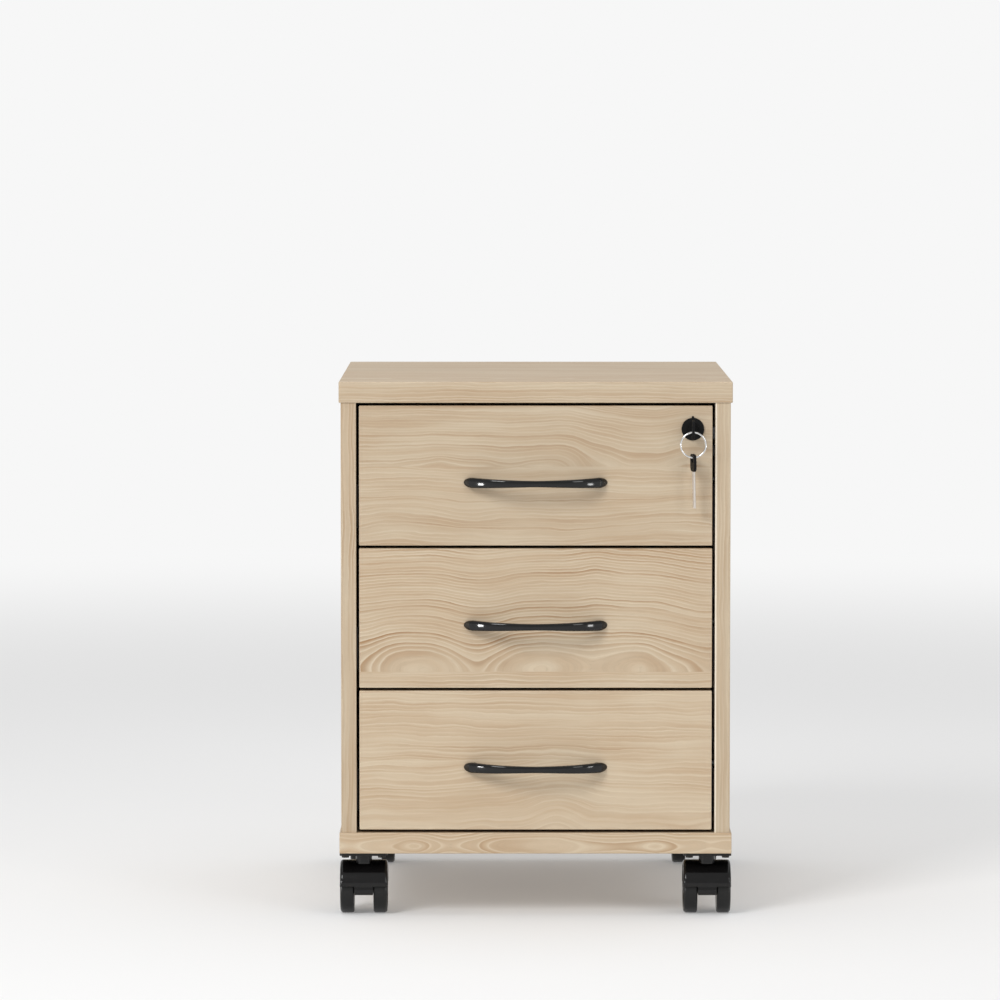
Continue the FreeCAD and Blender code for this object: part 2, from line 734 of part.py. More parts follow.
def make_lock_screws():
    """Two short screws through the lock's flange into the back of the upper front."""
    seat = FRONT_BACK_Y + FLANGE_THICK
    made = []
    for side, sign in SIDES:
        centre = (LOCK_X + LOCK_SCREW_SPOT * sign, LOCK_Z)
        made.append(screw(f"lock_screw_{side}", LOCK_SCREW, "Y", -1, seat, centre))
    return made


def lock_housing(flange_end, sleeve_end, bore):
    """The fixed barrel, its flange and sleeve behind the drawer front, and the rosette in front."""
    here = (LOCK_X, LOCK_Z)
    barrel = rod("lock_barrel", "Y", S["barrel_radius"], (FACE_Y, sleeve_end), here)
    flange_x = (LOCK_X - FLANGE_HALF_X, LOCK_X + FLANGE_HALF_X)
    flange_z = (LOCK_Z - FLANGE_HALF_Z, LOCK_Z + FLANGE_HALF_Z)
    flange = block("lock_flange", flange_x, (FRONT_BACK_Y, flange_end), flange_z)
    soft = rounded("lock_flange_soft", flange, FLANGE_CORNER, runs_along("Y"))
    whole = fuse("lock_housing_whole", barrel, soft)
    node("lock_housing", cut("lock_housing", whole, bore, group("lock_housing_screws", lock_screws)))

    rosette_y = FACE_Y - S["rosette_thick"]
    disc = rod("rosette_disc", "Y", S["rosette_radius"], (rosette_y, FACE_Y), here)
    domed = rounded("rosette_domed", disc, ROSETTE_EDGE, lies_on("Y", rosette_y))
    nib_spot = (LOCK_X, LOCK_Z + S["rosette_radius"] + NIB_RADIUS / 3)
    nib = rod("rosette_nib", "Y", NIB_RADIUS, (FACE_Y - NIB_THICK, FACE_Y), nib_spot)
    node("lock_rosette", cut("lock_rosette", fuse("rosette_whole", domed, nib), bore))


def lock_plug(sleeve_end):
    """The turning plug: a core, a lever behind the sleeve and the drive pin at the lever's end."""
    here = (LOCK_X, LOCK_Z)
    front_y = FACE_Y - S["rosette_thick"]
    lever_y = (sleeve_end + LEVER_GAP, sleeve_end + LEVER_GAP + LEVER_THICK)
    core = rod("plug_core", "Y", S["plug_radius"], (front_y + PLUG_SUNK, lever_y[0]), here)
    hub = rod("plug_hub", "Y", LEVER_HUB, lever_y, here)
    pin_spot = (LOCK_X + PIN_DROP, LOCK_Z - PIN_DROP)
    tip = rod("plug_tip", "Y", LEVER_TIP, lever_y, pin_spot)
    arm = block("plug_arm", (0, PIN_DROP * math.sqrt(2)), (0, LEVER_THICK), (-LEVER_TIP, LEVER_TIP))
    root = LEVER_TIP / math.sqrt(2)
    place(arm, LOCK_X - root, lever_y[0], LOCK_Z - root, turn_about("Y", 45))
    pin = rod("drive_pin", "Y", PIN_RADIUS, (lever_y[1], lever_y[1] + PIN_LONG), pin_spot)
    half_thick = S["blade_thick"] / 2 + KEYWAY_PLAY
    half_wide = S["blade_wide"] / 2 + KEYWAY_PLAY
    keyway = block(
        "keyway",
        (LOCK_X - half_thick, LOCK_X + half_thick),
        (front_y, KEY_ROOT_Y + BLADE_LONG + KEYWAY_PLAY),
        (LOCK_Z - half_wide, LOCK_Z + half_wide),
    )
    node("lock_plug", cut("lock_plug", fuse("plug_whole", core, hub, tip, arm, pin), keyway))


def lock():
    flange_end = FRONT_BACK_Y + FLANGE_THICK
    sleeve_end = flange_end + SLEEVE_LONG
    bore_y = (FACE_Y - S["rosette_thick"], sleeve_end)
    bore = rod("lock_bore", "Y", S["plug_radius"] + S["pin_play"], bore_y, (LOCK_X, LOCK_Z))
    lock_housing(flange_end, sleeve_end, bore)
    lock_plug(sleeve_end)


BOW_CORNER = 6.0
EYE_HALF_WIDE = 5.0
EYE_HALF_LONG = 3.0
EYE_FROM_END = 6.0
BLADE_IN_BOW = 8.0
BLADE_LONG = 38.0
SPARE_YAW = 10.0
BITS = (1.4, 2.2, 1.0, 1.8, 2.4)
BIT_FIRST = 4.0
BIT_PITCH = 3.6
BIT_HALF = 1.0


def key(name):
    """A key that points down: blade tip at the bottom, bow on top, the bow's eye at its own origin.

    It lies in the YZ plane. Returned as blade and bow, both still at the origin.
    """
    top = EYE_FROM_END
    root = top - S["bow_long"].value
    half_wide, half_thick = S["blade_wide"] / 2, S["blade_thick"] / 2
    thick = (-half_thick, half_thick)
    flat = block(name + "_flat", thick, (-half_wide, half_wide), (root - BLADE_LONG, root + BLADE_IN_BOW))
    notches = []
    for number, deep in enumerate(BITS):
        middle = root - BLADE_LONG + BIT_FIRST + BIT_PITCH * number
        notch_y, notch_z = (half_wide - deep, half_wide), (middle - BIT_HALF, middle + BIT_HALF)
        notches.append(block(f"{name}_bit{number}", thick, notch_y, notch_z))
    blade = cut(name + "_blade", flat, *notches)

    half_bow, bow_half_thick = S["bow_wide"] / 2, S["bow_thick"] / 2
    bow_x = (-bow_half_thick, bow_half_thick)
    board = block(name + "_board", bow_x, (-half_bow, half_bow), (root, top))
    soft = rounded(name + "_soft", board, BOW_CORNER, runs_along("X"))
    inner = EYE_HALF_WIDE - EYE_HALF_LONG
    eye_ends = [
        rod(f"{name}_eye{n}", "X", EYE_HALF_LONG, bow_x, (offset, 0))
        for n, offset in enumerate((-inner, inner))
    ]
    eye_z = (-EYE_HALF_LONG, EYE_HALF_LONG)
    eye = fuse(name + "_eye", *eye_ends, block(name + "_eye_middle", bow_x, (-inner, inner), eye_z))
    return blade, cut(name + "_bow", soft, eye, blade)


def moved(name, shape, x, y, z, rotation):
    """A copy of a shape, linked to it, at another place."""
    made = doc.addObject("Part::Compound", name)
    made.Links = [shape]
    return place(made, x, y, z, rotation)


KEY_ROOT_Y = FACE_Y - S["rosette_thick"] - 1.5
EYE_Y = KEY_ROOT_Y - S["bow_long"] + EYE_FROM_END
RING_TOP_DROP = 2.5
RING_Z = LOCK_Z - RING_TOP_DROP - S["ring_radius"]
RING_CLEAR = 0.3
SPARE_EYE_Z = RING_Z - S["ring_radius"] + S["ring_wire"] + RING_CLEAR - EYE_HALF_LONG


def keys():
    """The key in the lock, the ring that hangs from it and the spare key on the ring."""
    blade, bow = key("key")
    lying = turn_about("X", 90)
    node("key_blade", moved("key_blade_placed", blade, LOCK_X, EYE_Y, LOCK_Z, lying))
    node("key_bow", moved("key_bow_placed", bow, LOCK_X, EYE_Y, LOCK_Z, lying))

    ring = doc.addObject("Part::Torus", "key_ring")
    bind(ring, "Radius1", S["ring_radius"])
    bind(ring, "Radius2", S["ring_wire"])
    node("key_ring", place(ring, LOCK_X, EYE_Y, RING_Z, turn_about("X", 90)))

    blade, bow = key("spare_key")
    yaw = turn_about("Z", SPARE_YAW)
    node("spare_key_blade", moved("spare_blade_placed", blade, LOCK_X, EYE_Y, SPARE_EYE_Z, yaw))
    node("spare_key_bow", moved("spare_bow_placed", bow, LOCK_X, EYE_Y, SPARE_EYE_Z, yaw))


BAR_RISE = 10.0
BAR_SHORT = 19.0
STUB_RADIUS = 2.0
STUB_LONG = 3.0
ARM_GAP = 22.0
ARM_SHEET = 2.0
ARM_HALF_HIGH = 6.0
ARM_START = 1.5
ARM_SLOT = (3.2, 11.5)
ARM_SLOT_PLAY = 0.6
FOOT_LONG = 14.0
FOOT_THICK = 1.5


def lock_bar():
    """The bar in the groove of the right side with its pegs, and the slotted arm that lifts it."""
    half = S["bar_wide"] / 2
    bar_x = (BAR_X, BAR_X + S["bar_thick"])
    bar_z = (SIDE_Z + BAR_RISE, TOP_Z - BAR_SHORT)
    bar = block("bar_strip", bar_x, (BAR_Y - half, BAR_Y + half), bar_z)
    pegs = []
    for level in range(len(LEVELS)):
        here = (BAR_Y, box_z(level) + PEG_RISE)
        stub = rod(f"peg_stub_{level}", "X", STUB_RADIUS, (BAR_X, BAR_X + STUB_LONG), here)
        head = rod(f"peg_head_{level}", "X", S["peg_radius"], (INNER_X - PEG_REACH, BAR_X), here)
        pegs.append(fuse(f"peg_{level}", head, stub))
    holed = cut("bar_holed", bar, group("bar_holes", pegs))
    node("lock_bar", group("lock_bar", [holed, *pegs]))

    low = LOCK_Z - PIN_DROP
    arm_z = (low - ARM_HALF_HIGH, low + ARM_HALF_HIGH)
    arm_y = (FRONT_BACK_Y + ARM_GAP, FRONT_BACK_Y + ARM_GAP + ARM_SHEET)
    arm = block("arm_plate", (LOCK_X + ARM_START, BAR_X), arm_y, arm_z)
    foot = block("arm_foot", (BAR_X - FOOT_THICK, BAR_X), (arm_y[1] - FOOT_LONG, arm_y[1]), arm_z)
    slot_half = PIN_RADIUS + ARM_SLOT_PLAY
    slot_x = (LOCK_X + ARM_SLOT[0], LOCK_X + ARM_SLOT[1])
    slot = block("arm_slot", slot_x, arm_y, (low - slot_half, low + slot_half))
    node("lock_bar_arm", cut("lock_bar_arm", fuse("arm_whole", arm, foot), slot))


GUIDE_RISE = 80.5
GUIDE_HIGH = 11.0
GUIDE_THICK = 2.0
GUIDE_REACH = (13.0, 17.0)
GUIDE_SCREW = ScrewKind(1.5, 11.0, 2.6, 0.8)
GUIDE_SCREW_SPOT = 13.0


def bar_guides():
    """Three moulded straps that keep the locking bar in its groove, with their screws."""
    guides, screws = [], []
    for level in range(len(LEVELS)):
        low = box_z(level) + GUIDE_RISE
        name = f"bar_guide_{level}"
        strap_x = (INNER_X - GUIDE_THICK, INNER_X)
        strap_y = (BAR_Y - GUIDE_REACH[0], BAR_Y + GUIDE_REACH[1])
        strap = block(name + "_strap", strap_x, strap_y, (low, low + GUIDE_HIGH))
        here = (BAR_Y + GUIDE_SCREW_SPOT, low + GUIDE_HIGH / 2)
        fixing = screw(name + "_screw", GUIDE_SCREW, "X", 1, INNER_X - GUIDE_THICK, here)
        screws.append(fixing)
        guides.append(cut(name, strap, fixing))
    node("lock_bar_guides", group("lock_bar_guides", guides))
    return screws


# ---------------------------------------------------------------- casters

PLATE_SCREW = ScrewKind(2.0, 16.0, 3.9, 2.2)
PLATE_CORNER = 4.0
COLLAR_RADIUS = 9.0
COLLAR_HIGH = 1.4
BOSS_RADIUS = 8.5
BOSS_LONG = 15.0
BOSS_GAP = 0.3
STEM_FOOT_Z = 38.0
STEM_BORE_Z = 37.0
STEM_SUNK = 0.5
AXLE_Z = S["wheel_radius"]
WHEEL_X = S["web_wide"] / 2 + S["wheel_play"]
HOOD_HALF = WHEEL_X + S["wheel_wide"]
HOOD_EDGE = 3.0
HOOD_LIP = 6.0
HOOD_ROOM = 1.5
WEB_FOOT = 3.7
AXLE_SHORT = 1.2
SPARE_LENGTH = 1.0


def caster_plate(name, x, y, screws):
    """The square plate, and the swivel pin that is riveted into it."""
    half = S["plate_size"] / 2
    low = BASE_Z - S["plate_thick"]
    board = block(name + "_board", (x - half, x + half), (y - half, y + half), (low, BASE_Z))
    soft = rounded(name + "_soft", board, PLATE_CORNER, runs_along("Z"))
    stem = rod(name + "_stem", "Z", S["stem_radius"], (STEM_FOOT_Z, BASE_Z - STEM_SUNK), (x, y))
    collar = rod(name + "_collar", "Z", COLLAR_RADIUS, (low - COLLAR_HIGH, low), (x, y))
    pin = fuse(name + "_pin", stem, collar)
    return [cut(name + "_plate", soft, group(name + "_holes", screws), pin), pin]


def caster_screws(name, x, y):
    """Four pan-head screws, driven up through the plate into the base."""
    half = S["plate_holes"] / 2
    seat = BASE_Z - S["plate_thick"]
    made = []
    for number, (across, along) in enumerate(((-1, -1), (1, -1), (-1, 1), (1, 1))):
        centre = (x + half * across, y + half * along)
        made.append(screw(f"{name}_screw_{number}", PLATE_SCREW, "Z", 1, seat, centre))
    return made


def caster_hood(name, x, y, axle_y):
    """The moulded hood: a curved cover over both wheels, and a web between them with a boss on top.

    The boss and the web are bored for the swivel pin.
    """
    outer = S["hood_radius"]
    wide = (x - HOOD_HALF, x + HOOD_HALF)
    drum = rod(name + "_drum", "X", outer, wide, (axle_y, AXLE_Z))
    soft = rounded(name + "_drum_soft", drum, HOOD_EDGE, lambda e: e.Curve.TypeId == "Part::GeomCircle")
    boss_top = BASE_Z - S["plate_thick"] - COLLAR_HIGH - BOSS_GAP
    boss = rod(name + "_boss", "Z", BOSS_RADIUS, (boss_top - BOSS_LONG, boss_top), (x, y))
    whole = fuse(name + "_whole", soft, boss)
    web = S["web_wide"] / 2
    reach = outer + SPARE_LENGTH
    whole_y = (axle_y - reach, axle_y + reach)
    tools = []
    for side, sign in SIDES:
        room_x = (x + web, wide[1]) if sign > 0 else (wide[0], x - web)
        room = rod(f"{name}_room_{side}", "X", S["wheel_radius"] + HOOD_ROOM, room_x, (axle_y, AXLE_Z))
        tools += [room, block(f"{name}_skirt_{side}", room_x, whole_y, (AXLE_Z - reach, AXLE_Z + HOOD_LIP))]
    tools.append(block(name + "_under", wide, whole_y, (AXLE_Z - reach, AXLE_Z - WEB_FOOT)))
    bore_z = (STEM_BORE_Z, boss_top + SPARE_LENGTH)
    tools.append(rod(name + "_bore", "Z", S["stem_radius"] + S["pin_play"], bore_z, (x, y)))
    bore = S["axle_radius"] + S["pin_play"]
    tools.append(rod(name + "_axle_bore", "X", bore, wide, (axle_y, AXLE_Z)))
    node(f"{name}_caster_hood", cut(name + "_hood", whole, *tools))


def caster_wheel(name, sign, x, axle_y):
    """One wheel: a tread with a rounded outer edge, a dished face and a hub."""
    wide, radius, hub = S["wheel_wide"], S["wheel_radius"], S["axle_radius"]
    # Corners as (distance from the web side, radius), from the inner hub to the outer hub.
    corners = [
        (size(0), hub),
        (size(0), radius - 0.8),
        (size(0.8), radius),
        (wide - 2.6, radius),
        (wide - 1.4, radius - 0.4),
        (wide - 0.5, radius - 1.3),
        (wide, radius - 2.6),
        (wide, radius - 5.2),
        (wide - 1.8, radius - 6.2),
        (wide - 2.4, size(9.5)),
        (wide - 0.9, size(8.5)),
        (wide - 0.4, hub + 2),
        (wide - 0.4, hub),
    ]
    points = [((across + WHEEL_X) * sign, high) for across, high in corners]
    if sign < 0:
        points.reverse()
    return turned(name, points, x, axle_y, AXLE_Z)


def caster(name, x, y, behind):
    """One caster: plate and screws join the case, the hood swivels and the wheel set rolls in it."""
    screws = caster_screws(name, x, y)
    axle_y = y + S["trail"] * behind
    caster_hood(name, x, y, axle_y)
    wheels = [caster_wheel(f"{name}_wheel_{side}", sign, x, axle_y) for side, sign in SIDES]
    half = HOOD_HALF - AXLE_SHORT
    axle = rod(name + "_axle", "X", S["axle_radius"], (x - half, x + half), (axle_y, AXLE_Z))
    node(f"{name}_caster_wheels", group(name + "_wheels", [*wheels, axle]))
    return caster_plate(name, x, y, screws), screws


def casters():
    """Four casters; the front pair points backwards and the rear pair forwards."""
    inset = S["plate_inset"] + S["plate_size"] / 2
    plates, screws = [], []
    for where, y, behind in (("front", SLAB_Y + inset, 1), ("rear", BACK_Y - inset, -1)):
        for side, sign in SIDES:
            x = (SLAB_X - S["plate_size"] / 2) * sign
            plate, fixings = caster(f"{where}_{side}", x, y, behind)
            plates += plate
            screws += fixings
    node("caster_plates", group("caster_plates", plates))
    return screws


# ---------------------------------------------------------------- assembly

cabinet_seat_x = INNER_X - S["slide_sheet"]
drawer_seat_x = BOX_X + S["slide_sheet"]
cabinet_screws, drawer_screws = [], []
for level in range(len(LEVELS)):
    cabinet_screws.append(slide_screws(level, "cabinet", CABINET_SCREW, cabinet_seat_x, 1, 0))
    lag = DRAWER_SCREW_LAG
    drawer_screws.append(slide_screws(level, "drawer", DRAWER_SCREW, drawer_seat_x, -1, lag))
lock_screws = make_lock_screws()

for level in range(len(LEVELS)):
    slides(level)
    drawer(level)
lock()
keys()
lock_bar()
guide_screws = bar_guides()
plate_screws = casters()

corners = case_fittings()
corner_holes = group("corner_holes", corners.holes)
side_screws = sum(cabinet_screws, []) + guide_screws
side_holes = group("side_screw_holes", side_screws)
slab("top_panel", TOP_Z, corner_holes)
slab("base_panel", BASE_Z, corner_holes, group("base_screw_holes", plate_screws))
for side, sign in SIDES:
    side_panel(side, sign, corner_holes, side_holes)
back_y = (BACK_Y - S["board_thick"], BACK_Y)
back_board = block("back_board", (-INNER_X, INNER_X), back_y, (SIDE_Z, TOP_Z))
node("back_panel", cut("back", back_board, corner_holes))
node("case_fittings", group("case_fittings", corners.pieces))
node("case_screws", group("case_screws", side_screws + plate_screws))


# ---------------------------------------------------------------- checks and files


def check():
    """Stops if any object failed, or a sub-part has no valid closed solids."""
    for thing in doc.Objects:
        if "Invalid" in thing.State or "Error" in thing.State:
            raise RuntimeError(f"{thing.Name} failed: {thing.State}")
    for thing in nodes:
        shape = thing.Shape
        if shape.isNull() or not shape.isValid() or not shape.Solids:
            raise RuntimeError(f"{thing.Label} has no valid shape")
        if any(solid.Volume <= 0 for solid in shape.Solids):
            raise RuntimeError(f"{thing.Label} has a solid with no volume")


def write():
    """Writes each sub-part to its own file, named after its label."""
    os.makedirs(OUT, exist_ok=True)
    for thing in nodes:
        thing.Shape.exportStep(os.path.join(OUT, thing.Label + ".step"))
        print(f"{thing.Label}: {len(thing.Shape.Solids)} solids, {thing.Shape.Volume:.0f} mm3")


doc.recompute()
check()
write()
print(f"{len(nodes)} sub-parts")
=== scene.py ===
"""Looks of the rolling pedestal cabinet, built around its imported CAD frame.

Metres, +Z up, the drawers open towards -Y. Places come from the CAD boxes; the look of each board,
plastic and metal is a node tree made by the functions below.
"""

import json
import math
import random

import bmesh
import bpy
from mathutils import Matrix, Vector


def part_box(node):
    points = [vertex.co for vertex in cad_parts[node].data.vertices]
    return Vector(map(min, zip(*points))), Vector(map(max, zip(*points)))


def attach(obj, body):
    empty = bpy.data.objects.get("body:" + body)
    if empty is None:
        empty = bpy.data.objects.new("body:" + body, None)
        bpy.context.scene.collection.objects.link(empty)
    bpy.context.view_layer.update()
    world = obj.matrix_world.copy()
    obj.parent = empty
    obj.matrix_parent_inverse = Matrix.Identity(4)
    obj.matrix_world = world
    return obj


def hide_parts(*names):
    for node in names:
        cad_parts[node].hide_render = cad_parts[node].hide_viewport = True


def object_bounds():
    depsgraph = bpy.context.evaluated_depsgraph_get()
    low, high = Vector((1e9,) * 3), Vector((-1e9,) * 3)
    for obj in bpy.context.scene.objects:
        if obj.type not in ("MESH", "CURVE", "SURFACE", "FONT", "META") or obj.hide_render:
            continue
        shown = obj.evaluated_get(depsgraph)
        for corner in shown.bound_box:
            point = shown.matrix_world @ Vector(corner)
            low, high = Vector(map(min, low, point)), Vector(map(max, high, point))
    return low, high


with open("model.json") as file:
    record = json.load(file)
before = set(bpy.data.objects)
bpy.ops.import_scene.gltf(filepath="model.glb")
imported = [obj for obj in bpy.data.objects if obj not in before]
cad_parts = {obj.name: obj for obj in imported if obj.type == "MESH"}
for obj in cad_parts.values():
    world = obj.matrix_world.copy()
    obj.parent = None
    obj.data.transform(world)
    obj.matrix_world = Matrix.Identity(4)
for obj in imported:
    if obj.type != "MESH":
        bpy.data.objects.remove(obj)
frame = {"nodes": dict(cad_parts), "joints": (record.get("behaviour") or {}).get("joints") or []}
cad_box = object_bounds()

MM = 0.001
LEVELS = ("lower", "middle", "upper")
CASTERS = ("front_left", "front_right", "rear_left", "rear_right")


# ---------------------------------------------------------------- materials as formulas


class Field:
    """A number that varies over a surface; arithmetic on it adds math nodes to its material."""

    def __init__(self, look, socket):
        self.look = look
        self.socket = socket

    def __add__(self, other):
        return self.look.math("ADD", self, other)

    def __sub__(self, other):
        return self.look.math("SUBTRACT", self, other)

    def __rsub__(self, other):
        return self.look.math("SUBTRACT", other, self)

    def __mul__(self, other):
        return self.look.math("MULTIPLY", self, other)

    def __truediv__(self, other):
        return self.look.math("DIVIDE", self, other)

    __radd__ = __add__
    __rmul__ = __mul__

    def above(self, limit):
        """1 where this is above the limit, else 0."""
        return self.look.math("GREATER_THAN", self, limit)

    def floor(self):
        return self.look.math("FLOOR", self)

    def bell(self, middle, width):
        """1 at the middle, fading smoothly to 0 over about twice the width on both sides."""
        off = (self - middle) / width
        return self.look.math("EXPONENT", off * off * -1.0)

    def smooth(self, low, high, to_low=0.0, to_high=1.0):
        """A smooth step from to_low at low to to_high at high."""
        span = {"From Min": low, "From Max": high, "To Min": to_low, "To Max": to_high}
        made = self.look.node("ShaderNodeMapRange", interpolation_type="SMOOTHSTEP",
                              Value=self, **span)
        return Field(self.look, made.outputs["Result"])


class Look:
    """One material and the nodes that drive its principled shader."""

    def __init__(self, name):
        self.material = bpy.data.materials.new(name)
        self.material.use_nodes = True
        self.tree = self.material.node_tree
        self.shader = self.tree.nodes["Principled BSDF"]
        coordinates = self.tree.nodes.new("ShaderNodeTexCoord")
        self.place = coordinates.outputs["Object"]
        self.normal = coordinates.outputs["Normal"]

    def feed(self, socket, value):
        """Links a field or socket to an input, or sets its constant."""
        if isinstance(value, Field):
            value = value.socket
        if isinstance(value, bpy.types.NodeSocket):
            self.tree.links.new(value, socket)
        else:
            socket.default_value = value

    def node(self, kind, **settings):
        """A node; settings are its properties in lower case and its inputs as they are labelled."""
        made = self.tree.nodes.new(kind)
        inputs = {key: value for key, value in settings.items() if key[0].isupper()}
        for key, value in settings.items():
            if key not in inputs:
                setattr(made, key, value)
        for key, value in inputs.items():
            self.feed(made.inputs[key], value)
        return made

    def math(self, operation, *values):
        made = self.tree.nodes.new("ShaderNodeMath")
        made.operation = operation
        for socket, value in zip(made.inputs, values):
            self.feed(socket, value)
        return Field(self, made.outputs[0])

    def axes(self, vector):
        """The three parts of a vector as fields."""
        made = self.node("ShaderNodeSeparateXYZ", Vector=vector)
        return [Field(self, socket) for socket in made.outputs]

    def vector(self, x, y, z):
        return self.node("ShaderNodeCombineXYZ", X=x, Y=y, Z=z).outputs[0]

    def millimetres(self):
        """The place on the object, in millimetres."""
        return [part * (1 / MM) for part in self.axes(self.place)]

    def noise(self, vector, detail=2.0, roughness=0.5):
        """Smooth noise about 0.5."""
        made = self.node("ShaderNodeTexNoise", Vector=vector, Scale=1.0, Detail=detail,
                         Roughness=roughness)
        return Field(self, made.outputs[0])

    def speckle(self, size, detail=2.0, roughness=0.5):
        """Noise of one size, in mm, in every direction."""
        x, y, z = self.millimetres()
        return self.noise(self.vector(x / size, y / size, z / size), detail, roughness)

    def white(self, value):
        """A random number from 0 to 1 for each whole value."""
        made = self.node("ShaderNodeTexWhiteNoise", noise_dimensions="1D", W=value)
        return Field(self, made.outputs["Value"])

    def blend(self, factor, first, second):
        """Two colours mixed by a factor."""
        made = self.tree.nodes.new("ShaderNodeMix")
        made.data_type = "RGBA"
        self.feed(made.inputs["Factor"], factor)
        self.feed(made.inputs[6], first)
        self.feed(made.inputs[7], second)
        return made.outputs[2]

    def bump(self, height, distance, strength=1.0):
        """Feeds the shader's normal with a height in millimetres."""
        made = self.node("ShaderNodeBump", Height=height, Distance=distance * MM, Strength=strength)
        self.set(Normal=made.outputs[0])

    def set(self, **values):
        """Sets or links inputs of the shader; an underscore in a name stands for a space."""
        for key, value in values.items():
            self.feed(self.shader.inputs[key.replace("_", " ")], value)


def colour(red, green, blue):
    """A display colour, 0 to 255, as the linear one that the shader takes."""
    linear = []
    for part in (red, green, blue):
        share = part / 255
        linear.append(share / 12.92 if share <= 0.04045 else ((share + 0.055) / 1.055) ** 2.4)
    return (*linear, 1.0)


def scaled(tone, factor, lift=0.0):
    """A darker or lighter form of a linear colour."""
    return (*(part * factor + lift for part in tone[:3]), 1.0)


def grey(level):
    """A neutral linear colour."""
    return (level, level, level, 1.0)


# ---------------------------------------------------------------- wood laminate


class Plank:
    """One printed plank of a board: where its heart runs and how its year rings lie, in mm.

    heart is where the heart line crosses v, depth how far it lies behind the face: near hearts draw
    ovals and arches, far ones draw straight lines. ring is the width of a year ring, slope tilts
    the lines, wave makes them wander, ink makes them darker and tone makes the plank lighter.
    Within the core, a radius about the heart, there is only one broad ring. The rings of a plank
    with a core are even; those of the others are loose, some broad and some narrow.
    """

    def __init__(self, seed, heart, depth, ring, slope, wave, ink, tone=0.0, core=0.0):
        self.seed = seed
        self.heart = heart
        self.depth = depth
        self.ring = ring
        self.slope = slope
        self.wave = wave
        self.ink = ink
        self.tone = tone
        self.core = core
        self.loose = 0.0 if core else 1.0


class Bump:
    """A bend of the rings of one plank near u: it moves the heart's depth, or lifts the lines.

    A bump fades on both sides of u; a step rises around u and stays.
    """

    def __init__(self, plank, u, width, deeper=0.0, lift=0.0, step=False):
        self.plank = plank
        self.u = u
        self.width = width
        self.deeper = deeper
        self.lift = lift
        self.step = step

    def shape(self, u):
        if self.step:
            return u.smooth(self.u - self.width, self.u + self.width)
        return u.bell(self.u, self.width)


FACE_SHIFT = 1000.0
FACE_JOIN = FACE_SHIFT / 1.5
PLANK_WIDE = 118.0
HEART_DEPTHS = (6.0, 22.0, 45.0)
WOOD_PALE = colour(194, 177, 152)
WOOD_PINK = colour(181, 158, 130)
WOOD_LINE = colour(155, 121, 86)
WOOD_CREAM = colour(208, 194, 170)
WOOD_GREY = colour(160, 146, 124)
# painted highlight: the pale colour of a board's lit edge
WOOD_HIGHLIGHT = colour(240, 230, 212)
WOOD_ROUGH = 0.46
WOOD_GLOSS = 0.42
WOOD_RELIEF = 0.05
LINE_INK = 0.66
CREAM_INK = 0.42
PORE_INK = 0.26
STREAK_INK = 0.25
FIBRE_INK = 0.05
# strength and width, in mm, of that painted highlight
HIGHLIGHT_INK = 0.9
HIGHLIGHT_WIDE = 0.8
CORE_INK = 0.5
CORE_FADE = 9.0
CORE_LOWEST = -0.98
WANDER_REACH = 6.0
RIPPLE_REACH = 1.9
SWAY_REACH = 16.0
LOOSE_REACH = 2.2


def grain_axes(look, faces):
    """u along the grain and v across it, in mm, from the face that a point is on.

    faces gives, for each of the x, y and z faces, which axis is u, which is v, and a shift of v
    that keeps the planks of different faces apart.
    """
    place = dict(zip("xyz", look.millimetres()))
    normal = dict(zip("xyz", look.axes(look.normal)))
    u = v = None
    for face, (along, across, shift) in faces.items():
        here_u = place[along]
        here_v = place[across] + shift
        if u is None:
            u, v = here_u, here_v
            continue
        on_face = look.math("ABSOLUTE", normal[face]).above(0.7)
        u = u + (here_u - u) * on_face
        v = v + (here_v - v) * on_face
    return u, v


class Layout:
    """Planks side by side on one board: u along the grain, v across it, split at the joins."""

    def __init__(self, look, faces, joins, planks):
        self.look = look
        self.u, self.v = grain_axes(look, faces)
        self.steps = [self.v.above(join) for join in joins]
        self.planks = planks
        self.seed = self.of_plank("seed")

    def pick(self, values):
        """values[0] below the first join, values[1] above it, and so on."""
        chosen = values[0]
        for step, below, value in zip(self.steps, values, values[1:]):
            if value != below:
                chosen = step * (value - below) + chosen
        return chosen

    def of_plank(self, what):
        """A value of whichever plank a point is on."""
        return self.pick([getattr(plank, what) for plank in self.planks])

    def only_on(self, number):
        """1 on one plank, 0 on the others."""
        return self.pick([1.0 if n == number else 0.0 for n in range(len(self.planks))])

    def figure(self, across, long, wide, shift=0.0, detail=2.0, roughness=0.5):
        """Noise drawn out along the grain, another one in each plank."""
        spot = self.look.vector(self.u / long, across / wide, self.seed + shift)
        return self.look.noise(spot, detail, roughness)


def heart_distance(layout, bumps):
    """How far each point lies from its plank's heart, whose depth and height wander."""
    wander = layout.figure(layout.v, 95.0, 38.0, detail=3.0, roughness=0.45) - 0.5
    ripple = layout.figure(layout.v, 19.0, 7.0, 31.0) - 0.5
    off = layout.v - layout.of_plank("heart") - layout.u * layout.of_plank("slope")
    off = off - wander * layout.of_plank("wave") * WANDER_REACH - ripple * RIPPLE_REACH
    sway = layout.figure(layout.v, 70.0, 160.0, 7.0, detail=1.0) - 0.5
    depth = sway * SWAY_REACH + layout.of_plank("depth")
    for bump in bumps:
        bend = bump.shape(layout.u) * layout.only_on(bump.plank)
        if bump.lift:
            off = off - bend * bump.lift
        if bump.deeper:
            depth = depth + bend * bump.deeper
    return layout.look.math("SQRT", off * off + depth * depth)


